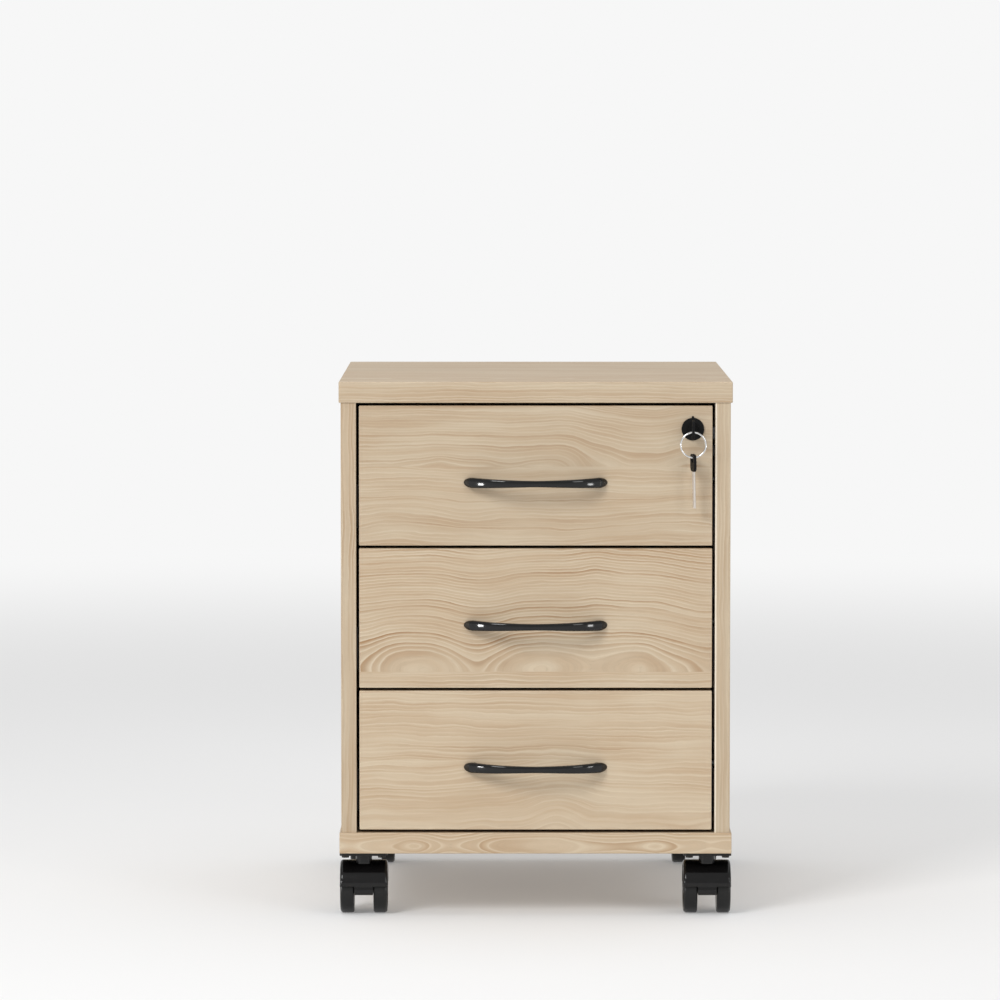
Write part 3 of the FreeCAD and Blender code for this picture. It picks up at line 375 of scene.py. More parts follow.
def ring_marks(layout, radius):
    """The dark late wood that ends each year ring, and the cream line that follows it."""
    look, seed = layout.look, layout.seed
    core = layout.of_plank("core")
    inside = look.math("MAXIMUM", (radius - core) / CORE_FADE, CORE_LOWEST)
    inside = look.math("MINIMUM", inside, 0.0)
    rings = look.math("MAXIMUM", radius - core, 0.0) / layout.of_plank("ring") + inside
    uneven = look.noise(look.vector(rings * 0.45, seed, 0.0), detail=1.0) - 0.5
    rings = rings + uneven * LOOSE_REACH * layout.of_plank("loose")
    number = rings.floor()
    phase = rings - number
    late = phase.smooth(0.10, 0.90) * phase.smooth(0.93, 1.0, 1.0, 0.0)
    in_core = (core - radius).above(0.0) * CORE_INK
    chance = look.math("MAXIMUM", look.white(number + seed * 13.0), in_core)
    fade = layout.figure(layout.v, 120.0, 30.0, 3.0).smooth(0.30, 0.66, 0.25, 1.0)
    line = late * (chance * chance * 0.85 + 0.15) * fade * layout.of_plank("ink")
    cream = phase.smooth(0.0, 0.05) * phase.smooth(0.05, 0.35, 1.0, 0.0) * fade
    return line, cream


def wood(name, faces, joins, planks, bumps=(), strength=1.0, highlight_x=None):
    """Light ash laminate: planks side by side, split at the joins, with the bumps drawn in.

    strength scales the contrast. An edge at a given x, in mm, gets a painted highlight for its lit
    arris.
    """
    look = Look(name)
    layout = Layout(look, faces, joins, planks)
    radius = heart_distance(layout, bumps)
    line, cream = ring_marks(layout, radius)
    patch = layout.figure(layout.v, 130.0, 34.0, 11.0, detail=3.0).smooth(0.36, 0.66)
    band = layout.figure(radius, 210.0, 6.5, 17.0).smooth(0.40, 0.64)
    streak = layout.figure(radius, 42.0, 1.05, 23.0, detail=4.0, roughness=0.68) - 0.5
    fibre = layout.figure(layout.v, 9.0, 0.55, detail=3.0, roughness=0.6) - 0.5
    pore = layout.figure(radius, 7.0, 0.35, 5.0, detail=1.0).smooth(0.60, 0.78)

    base = look.blend(patch * 0.45 + band * 0.55, WOOD_PALE, WOOD_PINK)
    base = look.blend(line * (LINE_INK * strength), base, WOOD_LINE)
    base = look.blend(cream * (CREAM_INK * strength), base, WOOD_CREAM)
    base = look.blend(pore * (PORE_INK * strength), base, WOOD_GREY)
    # painted highlight: a pale band along the edge stands in for light catching its rounded arris
    if highlight_x is not None:
        painted_highlight = look.millimetres()[0].bell(highlight_x + HIGHLIGHT_WIDE, HIGHLIGHT_WIDE)
        base = look.blend(painted_highlight * HIGHLIGHT_INK, base, WOOD_HIGHLIGHT)
    shade = streak * (STREAK_INK * strength) + fibre * FIBRE_INK + layout.of_plank("tone") + 1.0
    shaded = look.node("ShaderNodeVectorMath", operation="SCALE", Vector=base, Scale=shade)
    look.set(Base_Color=shaded.outputs[0], Roughness=line * 0.08 + (fibre * 0.10 + WOOD_ROUGH))
    look.set(Specular_IOR_Level=WOOD_GLOSS)
    look.bump(line * -0.6 + streak * 0.5 - pore * 0.5, WOOD_RELIEF, 0.35)
    return look.material


FRONT_FACES = {"y": ("x", "z", 0.0), "x": ("z", "y", FACE_SHIFT), "z": ("x", "y", FACE_SHIFT)}
SLAB_FACES = {"y": ("x", "z", 0.0), "z": ("x", "y", FACE_SHIFT), "x": ("y", "z", 0.0)}
SIDE_FACES = {"x": ("z", "y", FACE_SHIFT), "y": ("z", "x", 0.0), "z": ("x", "y", FACE_SHIFT)}
BACK_FACES = {"y": ("z", "x", 0.0), "x": ("z", "y", FACE_SHIFT), "z": ("x", "y", FACE_SHIFT)}


def span_mm(node, axis):
    """Lowest and highest value of a CAD node along an axis, in millimetres."""
    low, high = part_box(node)
    return low[axis] / MM, high[axis] / MM


def random_planks(seed, low, high):
    """Joins and planks of about one width across a broad face, each with its own figure."""
    dice = random.Random(seed)
    joins, planks = [], []
    edge = low
    while edge < high:
        width = PLANK_WIDE * dice.uniform(0.8, 1.2)
        heart = edge + width * dice.uniform(-0.3, 1.3)
        depth = dice.choice(HEART_DEPTHS)
        planks.append(Plank(dice.uniform(1, 90), heart, depth, dice.uniform(3.4, 5.0),
                            dice.uniform(-0.02, 0.02), 2.0, 0.8, dice.uniform(-0.025, 0.02)))
        edge += width
        joins.append(edge)
    return joins[:-1], planks


def front_wood(level):
    """The three drawer fronts, each cut from other planks."""
    low, _ = span_mm(f"{level}_front", 2)
    if level == "upper":
        join = low + 82.6
        planks = [Plank(12.0, low - 46.0, 16.0, 4.0, 0.02, 2.6, 0.75),
                  Plank(4.0, join - 8.0, 15.0, 3.1, -0.004, 1.3, 0.9, -0.02)]
        bumps = [Bump(1, 46.0, 46.0, deeper=19.0, step=True), Bump(1, 36.0, 22.0, lift=3.0),
                 Bump(1, 118.0, 30.0, lift=-3.5), Bump(0, -150.0, 55.0, lift=8.0)]
        return wood("ash_upper_front", FRONT_FACES, [join], planks, bumps, 0.9)
    if level == "middle":
        join = low + 17.0
        planks = [Plank(21.0, low - 70.0, 25.0, 3.4, 0.0, 0.8, 0.6, 0.065),
                  Plank(8.0, join + 2.0, 36.0, 3.1, 0.0, 1.0, 1.5, 0.05, core=29.5)]
        bumps = [Bump(1, 12.0, 48.0, deeper=-16.0), Bump(1, -128.0, 42.0, deeper=-16.0),
                 Bump(1, 112.0, 46.0, deeper=-14.0), Bump(1, -58.0, 26.0, lift=-3.0),
                 Bump(1, 62.0, 22.0, lift=4.0), Bump(1, 176.0, 40.0, lift=-6.0)]
        return wood("ash_middle_front", FRONT_FACES, [join], planks, bumps, 1.2)
    join = low + 73.0
    planks = [Plank(33.0, low - 18.0, 34.0, 4.0, 0.01, 2.2, 0.75, 0.10),
              Plank(27.0, low + 240.0, 40.0, 3.8, -0.008, 2.4, 0.7, 0.09)]
    bumps = [Bump(0, 26.0, 48.0, lift=9.0)]
    return wood("ash_lower_front", FRONT_FACES, [join], planks, bumps, 0.8)


def slab_wood(name, node, seed, edge_plank, bumps):
    """The top or the base: an edge with a plank of its own, and broad planks on the faces."""
    low, high = span_mm(node, 1)
    joins, planks = random_planks(seed, low + FACE_SHIFT, high + FACE_SHIFT)
    return wood(name, SLAB_FACES, [FACE_JOIN, *joins], [edge_plank, *planks], bumps)


def side_wood(side, seed):
    """A side panel: upright grain; the right one's inner front edge gets a painted highlight."""
    low, high = span_mm(f"{side}_side_panel", 1)
    thick = span_mm(f"{side}_side_panel", 0)
    joins, planks = random_planks(seed, low + FACE_SHIFT, high + FACE_SHIFT)
    edge = Plank(seed + 2.5, sum(thick) / 2 + 26.0, 9.0, 3.3, 0.004, 1.5, 1.0)
    # the right panel's inner front edge gets the painted highlight
    inner = min(thick, key=abs) if side == "right" else None
    return wood(f"ash_{side}_side", SIDE_FACES, [FACE_JOIN, *joins], [edge, *planks], highlight_x=inner)


def back_wood():
    joins, planks = random_planks(57, *span_mm("back_panel", 0))
    return wood("ash_back", BACK_FACES, joins, planks)


# ---------------------------------------------------------------- melamine, plastics and metals


def melamine():
    """Pale grey foil of the drawer boxes, with a fine dry texture."""
    look = Look("grey_melamine")
    fine = look.speckle(0.8, detail=3.0)
    cloud = look.speckle(90.0)
    tone = look.blend(cloud, colour(204, 204, 200), colour(214, 214, 211))
    tone = look.blend(fine.smooth(0.4, 0.7) * 0.10, tone, colour(176, 176, 174))
    look.set(Base_Color=tone, Roughness=fine * 0.16 + 0.42)
    look.bump(fine, 0.03, 0.35)
    return look.material


def hardboard():
    """The drawer bottom: grey foil above, brown fibre below."""
    look = Look("drawer_bottom")
    fibre = look.speckle(1.4, detail=5.0, roughness=0.7)
    below = look.axes(look.normal)[2].smooth(-0.6, -0.4, 1.0, 0.0)
    foil = look.blend(fibre, colour(206, 206, 202), colour(213, 213, 210))
    brown = look.blend(fibre.smooth(0.35, 0.65), colour(120, 84, 52), colour(146, 107, 70))
    look.set(Base_Color=look.blend(below, foil, brown), Roughness=below * 0.3 + (fibre * 0.1 + 0.4))
    look.bump(fibre * (below * 2.0 + 0.4), 0.05, 0.4)
    return look.material


def plastic(name, tone, rough, grain=0.35, depth=0.02, sheen_spots=0.06, gloss=0.32):
    """Moulded plastic: an even colour with a fine eroded texture and slightly uneven gloss.

    grain is the size of the texture in mm, depth its height.
    """
    look = Look(name)
    fine = look.speckle(grain)
    flow = look.speckle(14.0, detail=3.0)
    shade = look.blend(flow.smooth(0.35, 0.7) * 0.35, tone, scaled(tone, 1.5, 0.002))
    look.set(Base_Color=shade, Roughness=fine * sheen_spots + (flow * sheen_spots + rough))
    look.set(Specular_IOR_Level=gloss)
    look.bump(fine, depth, 0.5)
    return look.material


def zinc(name, tone, rough, drawn=(30.0, 0.6, 0.6), buffer_and_shade_y=None):
    """Zinc-plated steel: faint drawing lines along one axis and soft cloudy spangle.

    drawn gives the lines' size along x, y and z. In front of a given y, in mm, the steel is black:
    the slides' plastic buffers, which also paint the shade in the gaps beside the fronts.
    """
    look = Look(name)
    x, y, z = look.millimetres()
    lines = look.noise(look.vector(x / drawn[0], y / drawn[1], z / drawn[2]), detail=2.0)
    spangle = look.node("ShaderNodeTexVoronoi", Vector=look.vector(x, y, z), Scale=0.22)
    parts = look.node("ShaderNodeSeparateColor", Color=spangle.outputs["Color"])
    patch = Field(look, parts.outputs[0])
    shade = look.blend(patch * 0.22 + lines * 0.3, tone, scaled(tone, 0.72))
    look.set(Base_Color=shade, Metallic=1.0, Roughness=lines * 0.12 + (patch * 0.10 + rough))
    if buffer_and_shade_y is not None:
        # painted shade in part: black in front of that y stands for the buffers and for the shade
        # in the gaps
        steel = y.above(buffer_and_shade_y)
        look.set(Base_Color=look.blend(steel, colour(13, 13, 13), shade), Metallic=steel)
    look.bump(lines, 0.01, 0.3)
    return look.material


def polished(name, tone, rough):
    """Bright nickel or chrome with faint handling haze."""
    look = Look(name)
    x, y, z = look.millimetres()
    haze = look.speckle(3.0, detail=4.0)
    scratch = look.noise(look.vector(x / 0.3, y / 0.3, z / 6.0))
    shade = look.blend(haze.smooth(0.4, 0.7) * 0.5, tone, scaled(tone, 0.85))
    look.set(Base_Color=shade, Metallic=1.0, Roughness=haze * 0.08 + (scratch * 0.10 + rough))
    look.bump(scratch, 0.004, 0.4)
    return look.material


# depth of the black front of the slides: plastic buffers, and painted shade in the gaps beside the
# fronts
BUFFER_AND_SHADE = 6.0
SCREW_DRAWN = (0.4, 0.4, 3.0)
HANDLE_BLACK = plastic("handle_black", colour(15, 15, 15), 0.07, grain=0.8, depth=0.003,
                       sheen_spots=0.03, gloss=0.38)
LOCK_BLACK = plastic("lock_black", colour(12, 12, 12), 0.48, gloss=0.16)
KEY_BLACK = plastic("key_black", colour(10, 10, 11), 0.5, gloss=0.14)
HOOD_BLACK = plastic("hood_black", colour(13, 12, 12), 0.10, grain=0.8, depth=0.004, gloss=0.36)
WHEEL_BLACK = plastic("wheel_black", colour(17, 17, 16), 0.24, grain=0.5, depth=0.01, gloss=0.36)
STRAP_GREY = plastic("strap_grey", colour(96, 97, 98), 0.45)
STEEL_BLACK = plastic("black_steel", colour(14, 13, 12), 0.34, grain=0.9)
GALVANISED = zinc("galvanised", colour(196, 199, 201), 0.26, drawn=(0.6, 40.0, 0.6),
                  buffer_and_shade_y=span_mm("upper_cabinet_slides", 1)[0] + BUFFER_AND_SHADE)
ZINC = zinc("zinc", colour(188, 190, 192), 0.30)
SCREW_STEEL = zinc("screw_steel", colour(150, 149, 145), 0.24, drawn=SCREW_DRAWN)
CASE_SCREW = zinc("case_screws", colour(58, 57, 54), 0.3, drawn=SCREW_DRAWN)
KEY_STEEL = polished("key_steel", colour(220, 214, 207), 0.24)
RING_STEEL = polished("ring_steel", colour(224, 224, 224), 0.06)
MELAMINE = melamine()
HARDBOARD = hardboard()


# ---------------------------------------------------------------- building meshes


WELD = 1e-7
BEVEL_ANGLE = 40
BEVEL_SEGMENTS = 3
SHARP_ANGLE = 38


def link(thing):
    """Puts a new object into the scene."""
    bpy.context.scene.collection.objects.link(thing)
    return thing


def piece(name, shape, material, body, nodes=(), bevel=0.0):
    """A finished piece, smooth where it is gentle: it rides on its body and replaces CAD nodes."""
    bmesh.ops.remove_doubles(shape, verts=shape.verts, dist=WELD)
    bmesh.ops.recalc_face_normals(shape, faces=shape.faces)
    mesh = bpy.data.meshes.new(name)
    shape.to_mesh(mesh)
    shape.free()
    mesh.materials.append(material)
    mesh.shade_smooth()
    made = link(bpy.data.objects.new(name, mesh))
    if bevel:
        soft = made.modifiers.new("soft_edges", "BEVEL")
        soft.width = bevel * MM
        soft.segments = BEVEL_SEGMENTS
        soft.limit_method = "ANGLE"
        soft.angle_limit = math.radians(BEVEL_ANGLE)
        soft.harden_normals = True
    else:
        mesh.set_sharp_from_angle(angle=math.radians(SHARP_ANGLE))
    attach(made, body)
    if nodes:
        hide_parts(*nodes)
    return made


def at(place, turn=None):
    """A frame for shapes drawn in millimetres about a point given in metres."""
    return Matrix.Translation(place) @ (turn or Matrix()) @ Matrix.Diagonal((MM, MM, MM, 1.0))


# FACE_X turns a plate's flat faces towards X; SPIN_Z lets a lathe turn about Z.
FACE_X = Matrix(((0, 0, 1, 0), (1, 0, 0, 0), (0, 1, 0, 0), (0, 0, 0, 1)))
SPIN_Z = Matrix(((0, 1, 0, 0), (0, 0, 1, 0), (1, 0, 0, 0), (0, 0, 0, 1)))


def skin(shape, rings, closed=False):
    """Faces between successive rings of points; open skins are capped at both ends."""
    rows = [[shape.verts.new(point) for point in ring] for ring in rings]
    for first, second in zip(rows, rows[1:] + rows[:1] if closed else rows[1:]):
        for n, corner in enumerate(first):
            after = (n + 1) % len(first)
            shape.faces.new((corner, first[after], second[after], second[n]))
    if not closed:
        shape.faces.new(rows[0])
        shape.faces.new(rows[-1])


def arc(centre, radius, start, end, steps=6):
    """Points on an arc, angles in degrees."""
    angles = [math.radians(start + (end - start) * n / steps) for n in range(steps + 1)]
    return [(centre[0] + radius * math.cos(a), centre[1] + radius * math.sin(a)) for a in angles]


def superellipse(half_wide, half_high, power, count=40, centre=(0.0, 0.0)):
    """A rounded outline: an ellipse at power 2, squarer as the power grows."""
    points = []
    for n in range(count):
        angle = 2 * math.pi * n / count
        along, up = math.cos(angle), math.sin(angle)
        points.append((centre[0] + half_wide * math.copysign(abs(along) ** (2 / power), along),
                       centre[1] + half_high * math.copysign(abs(up) ** (2 / power), up)))
    return points


def lathe(shape, outline, frame_of, start=0.0, end=360.0, steps=56):
    """Turns a closed (along, radius) outline about the frame's X axis, all round or over an arc.

    The outline may also be a function of the angle in degrees.
    """
    whole = end - start >= 360
    rings = []
    for n in range(steps if whole else steps + 1):
        degrees = start + (end - start) * n / steps
        turn = math.cos(math.radians(degrees)), math.sin(math.radians(degrees))
        points = outline(degrees) if callable(outline) else outline
        rings.append([frame_of @ Vector((along, radius * turn[0], radius * turn[1]))
                      for along, radius in points])
    skin(shape, rings, closed=whole)


def plate(shape, outline, low, high, frame_of, hole=None):
    """An outline in the frame's XY plane, extruded between two heights, with a hole if given."""
    levels = [(outline, low), (outline, high)]
    if hole:
        levels += [(hole, high), (hole, low)]
    rings = [[frame_of @ Vector((x, y, z)) for x, y in points] for points, z in levels]
    skin(shape, rings, closed=bool(hole))


def middle_of(node):
    """The middle of a CAD node's box, in metres."""
    low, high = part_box(node)
    return (low + high) / 2


def size_mm(node):
    """The size of a CAD node's box along x, y and z, in millimetres."""
    low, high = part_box(node)
    return (high - low) / MM


def joint_place(name):
    """Where a joint's axis passes, in metres."""
    return Vector(next(joint["pos_m"] for joint in frame["joints"] if joint["name"] == name))


# ---------------------------------------------------------------- boards and dressed CAD nodes

EASED_EDGE = 1.1
CASE_LOOKS = {
    "case_fittings": ZINC, "case_screws": CASE_SCREW, "caster_plates": STEEL_BLACK,
    "lock_bar_guides": STRAP_GREY, "lock_bar": ZINC, "lock_bar_arm": ZINC,
    "lock_housing": ZINC, "lock_rosette": LOCK_BLACK, "lock_plug": LOCK_BLACK,
}
DRAWER_LOOKS = {
    "box_left": MELAMINE, "box_right": MELAMINE, "box_back": MELAMINE, "bottom": HARDBOARD,
    "catch": ZINC, "drawer_fasteners": SCREW_STEEL, "cabinet_slides": GALVANISED,
    "middle_slides": GALVANISED, "drawer_slides": GALVANISED,
}


def dress(node, material):
    """Gives a CAD node one material all over."""
    slots = frame["nodes"][node].material_slots
    if not slots:
        frame["nodes"][node].data.materials.append(material)
    for slot in slots:
        slot.material = material


def board(node, material, body="cabinet"):
    """A laminated board with eased edges in place of its CAD block."""
    low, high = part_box(node)
    shape = bmesh.new()
    bmesh.ops.create_cube(shape, size=1.0)
    bmesh.ops.scale(shape, vec=high - low, verts=shape.verts)
    bmesh.ops.translate(shape, vec=(low + high) / 2, verts=shape.verts)
    piece(f"{node}_board", shape, material, body, [node], bevel=EASED_EDGE)


def case_boards():
    """The case: top and base with a plank of their own along their edges, sides and back."""
    top_z = sum(span_mm("top_panel", 2)) / 2
    base_z = sum(span_mm("base_panel", 2)) / 2
    top_edge = Plank(41.0, top_z + 58.0, 20.0, 3.4, 0.0, 0.7, 0.75)
    base_edge = Plank(46.0, base_z - 3.0, 12.0, 2.3, 0.0, 1.2, 1.2, 0.12, core=8.0)
    ovals = [Bump(0, -128.0, 34.0, deeper=-6.2), Bump(0, -12.0, 60.0, deeper=-6.5),
             Bump(0, 124.0, 46.0, deeper=-6.2)]
    board("top_panel", slab_wood("ash_top", "top_panel", 11, top_edge, ()))
    board("base_panel", slab_wood("ash_base", "base_panel", 12, base_edge, ovals))
    dress("left_side_panel", side_wood("left", 5))
    dress("right_side_panel", side_wood("right", 9))
    dress("back_panel", back_wood())


case_boards()
for node, material in CASE_LOOKS.items():
    dress(node, material)
for level in LEVELS:
    board(f"{level}_front", front_wood(level), f"{level}_drawer")
    for part, material in DRAWER_LOOKS.items():
        dress(f"{level}_{part}", material)


# ---------------------------------------------------------------- handles

BOW_STEPS = 40
BOW_WAIST_SHARE = 0.62
BOW_END_SHARE = 0.88
BOW_SQUARE = 3.6
BOW_HALF_THICK = 3.3
BOW_TIP_THIN = 0.35
BOW_TIP_HIGH = 0.02
BOW_SWELL = 1.4
BOW_FOOT = 2.2
BOW_FOOT_REACH = 1.02
BOW_CURVE = 3.2
POST_SPREAD = 64.0


def handle(level):
    """A moulded bow: low in the middle, broader towards its rounded ends, on two flared posts."""
    node = f"{level}_handle"
    middle, back_y = middle_of(node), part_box(node)[1].y
    long, reach, tall = size_mm(node)
    frame_of = at((middle.x, back_y, middle.z))
    half_long, peak, foot = long / 2, reach - BOW_HALF_THICK, long / 2 - BOW_FOOT
    shape = bmesh.new()
    rings = []
    for n in range(-BOW_STEPS, BOW_STEPS + 1):
        share = math.sin(n / BOW_STEPS * math.pi / 2)
        x = half_long * share
        tip = max(abs(share) - BOW_END_SHARE, 0.0) / (1 - BOW_END_SHARE)
        round_tip = math.sqrt(max(1 - tip * tip, 0.0))
        spread = min(abs(share) / BOW_END_SHARE, 1.0) ** BOW_SWELL
        high_share = BOW_WAIST_SHARE + (1 - BOW_WAIST_SHARE) * spread
        half_high = tall / 2 * high_share * round_tip + BOW_TIP_HIGH
        half_thick = BOW_HALF_THICK * (BOW_TIP_THIN + (1 - BOW_TIP_THIN) * round_tip)
        rise = peak * (1 - min(abs(x) / foot, BOW_FOOT_REACH) ** BOW_CURVE)
        steep = peak * BOW_CURVE * abs(x) ** (BOW_CURVE - 1) / foot**BOW_CURVE
        slope = math.atan(math.copysign(steep, x))
        ring = []
        for out, up in superellipse(half_thick, half_high, BOW_SQUARE):
            spot = Vector((x + out * math.sin(slope), min(-rise - out * math.cos(slope), 0.0), up))
            ring.append(frame_of @ spot)
        rings.append(ring)
    skin(shape, rings)
    post = [(0.0, 0.0), (0.0, 4.9), *arc((1.0, 5.2), 1.0, 200, 270, 4), (7.6, 4.1), (7.6, 0.0)]
    outward = Matrix.Rotation(math.radians(-90), 4, "Z")
    for side in (-1, 1):
        spot = (middle.x + POST_SPREAD * MM * side, back_y, middle.z)
        lathe(shape, post, at(spot, outward), steps=28)
    piece(f"{level}_bow_handle", shape, HANDLE_BLACK, f"{level}_drawer", [node])


# ---------------------------------------------------------------- keys and ring

BITS = (1.4, 2.2, 1.0, 1.8, 2.4)
BIT_FIRST = 4.0
BIT_PITCH = 3.6
BIT_FLAT = 0.7
BIT_SLOPE = 1.6
EYE_HALF = (5.0, 3.0)
EYE_FROM_END = 6.0
BOW_OUTLINE_SQUARE = 4.5
EYE_SQUARE = 3.0
SPARE_YAW = 10.0
SPARE_LEAN = -1.3
COIL_TURNS = 1.95
COIL_STEPS = 150
COIL_START = 205.0
COIL_WIRE = 0.6
COIL_BROAD = 0.86
COIL_SQUARE = 2.4
COIL_CORNERS = 14
COIL_CROSS = (0.88, 0.2)
COIL_CLEAR = 1.02


def key_blade(shape, frame_of, thick, wide, top, tip):
    """A milled blade along -Z: grooved on both sides, with notches cut in one edge."""
    half, edge = thick / 2, wide / 2
    groove = half * 0.45
    stations = [(tip, edge - 1.8), (tip + 1.6, edge)]
    for number, deep in enumerate(BITS):
        middle = tip + BIT_FIRST + BIT_PITCH * number
        stations += [(middle - BIT_SLOPE, edge - 0.1), (middle - BIT_FLAT, edge - deep),
                     (middle + BIT_FLAT, edge - deep), (middle + BIT_SLOPE, edge - 0.1)]
    stations.append((top, edge))
    rings = []
    for z, bite in stations:
        right = [(half, -edge + 0.4), (half, -1.7), (groove, -1.4), (groove, -0.1), (half, 0.2)]
        left = [(-half, 0.4), (-groove, 0.1), (-groove, -0.9), (-half, -1.2), (-half, -edge + 0.4)]
        outline = [(half - 0.3, -edge), *right, (half, bite - 0.4), (half - 0.3, bite),
                   (0.3 - half, bite), (-half, bite - 0.4), *left, (0.3 - half, -edge)]
        rings.append([frame_of @ Vector((x, y, z)) for x, y in outline])
    skin(shape, rings)


def key(which, eye, turn, body):
    """A key with its eye at a point; unturned it hangs in the YZ plane, its blade pointing down."""
    thick, long, wide = size_mm("key_bow")
    blade_thick, blade_long, blade_wide = size_mm("key_blade")
    hidden = blade_long - (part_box("key_blade")[1].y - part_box("key_bow")[1].y) / MM
    frame_of = at(eye, turn)
    root = EYE_FROM_END - long
    blade = bmesh.new()
    key_blade(blade, frame_of, blade_thick, blade_wide, root + hidden, root + hidden - blade_long)
    piece(f"{which}_milled_blade", blade, KEY_STEEL, body, [f"{which}_blade"])
    bow = bmesh.new()
    centre = (0.0, EYE_FROM_END - long / 2)
    outline = superellipse(wide / 2, long / 2, BOW_OUTLINE_SQUARE, centre=centre)
    hole = superellipse(*EYE_HALF, EYE_SQUARE)
    plate(bow, outline, -thick / 2, thick / 2, frame_of @ FACE_X, hole)
    piece(f"{which}_moulded_bow", bow, KEY_BLACK, body, [f"{which}_bow"], bevel=0.8)


def key_ring():
    """A split ring: nearly two turns of spring wire that lie against each other."""
    frame_of = at(middle_of("key_ring"))
    radius = size_mm("key_ring").x / 2 - COIL_BROAD
    shape = bmesh.new()
    rings = []
    for n in range(COIL_STEPS + 1):
        turn = COIL_TURNS * n / COIL_STEPS
        angle = math.radians(COIL_START + 360 * turn)
        cross = min(max((turn - COIL_CROSS[0]) / COIL_CROSS[1], 0.0), 1.0)
        side = COIL_WIRE * (2 * cross * cross * (3 - 2 * cross) - 1) * COIL_CLEAR
        out = Vector((math.cos(angle), 0.0, math.sin(angle)))
        centre = out * radius + Vector((0.0, side, 0.0))
        wire = [centre + out * broad + Vector((0.0, flat, 0.0))
                for broad, flat in superellipse(COIL_BROAD, COIL_WIRE, COIL_SQUARE, COIL_CORNERS)]
        rings.append([frame_of @ point for point in wire])
    skin(shape, rings)
    piece("split_key_ring", shape, RING_STEEL, "key_ring", ["key_ring"])


def keys():
    """One key stands straight out of the lock; the other hangs from the ring below it."""
    turned = joint_place("key_turn")
    level = Matrix.Rotation(math.radians(90), 4, "X")
    eye = Vector((turned.x, middle_of("key_ring").y, turned.z))
    key("key", eye, level, "key")
    top_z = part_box("spare_key_bow")[1].z
    hanging = Vector((turned.x, eye.y, top_z - EYE_FROM_END * MM))
    lean = Matrix.Rotation(math.radians(SPARE_LEAN), 4, "Y")
    key("spare_key", hanging, lean @ Matrix.Rotation(math.radians(SPARE_YAW), 4, "Z"), "spare_key")
    key_ring()


# ---------------------------------------------------------------- casters

HOOD_CORNER = 3.0
HOOD_ROOM = 0.9
HOOD_LIP = 6.0
HOOD_TAPER = 2.9
HOOD_TAPER_ARC = 34.0
WEB_STEPS = 60
WEB_FOOT = 3.7
WEB_HALF = 9.8
WEB_SUNK = 0.12
WHEEL_GAP = 0.4
BOSS_RADIUS = 8.5
BOSS_LONG = 9.0
BOSS_CHAMFER = 0.6
RIB_COUNT = 8
AXLE_RADIUS = 3.0
AXLE_CHAMFER = 0.8
AXLE_SUNK = 1.2


def caster_hood(name):
    """The hood over both wheels, the web between them and the boss round the swivel pin."""
    node = f"{name}_caster_hood"
    top_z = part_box(node)[1].z
    wide, deep, _ = size_mm(node)
    axle = middle_of(f"{name}_caster_wheels")
    half, outer = wide / 2, deep / 2
    inner = size_mm(f"{name}_caster_wheels").z / 2 + HOOD_ROOM
    shape = bmesh.new()
    lip = math.degrees(math.asin(HOOD_LIP / outer))

    def reach(degrees):
        """How far the hood stands out at an angle: less towards its lips."""
        share = min(max((min(degrees, 180 - degrees) - lip) / HOOD_TAPER_ARC, 0.0), 1.0)
        return outer - HOOD_TAPER * (1 - share) ** 2

    def section(degrees):
        far = reach(degrees)
        return [(half, inner), *arc((half - HOOD_CORNER, far - HOOD_CORNER), HOOD_CORNER, 0, 90),
                *arc((HOOD_CORNER - half, far - HOOD_CORNER), HOOD_CORNER, 90, 180), (-half, inner)]

    lathe(shape, section, at(axle), lip, 180 - lip, steps=48)
    foot = math.degrees(math.asin(WEB_FOOT / outer))
    web = []
    for n in range(WEB_STEPS + 1):
        degrees = -foot + (180 + 2 * foot) * n / WEB_STEPS
        far = reach(degrees) - WEB_SUNK
        web.append((far * math.cos(math.radians(degrees)), far * math.sin(math.radians(degrees))))
    plate(shape, web, -WEB_HALF, WEB_HALF, at(axle) @ FACE_X)
    boss = [(-BOSS_LONG, 0.0), (-BOSS_LONG, BOSS_RADIUS), (-BOSS_CHAMFER, BOSS_RADIUS),
            (0.0, BOSS_RADIUS - BOSS_CHAMFER), (0.0, 0.0)]
    swivel = joint_place(f"{name}_caster_swivel")
    lathe(shape, boss, at((swivel.x, swivel.y, top_z)) @ SPIN_Z, steps=40)
    piece(f"{name}_moulded_hood", shape, HOOD_BLACK, node, [node], bevel=0.5)


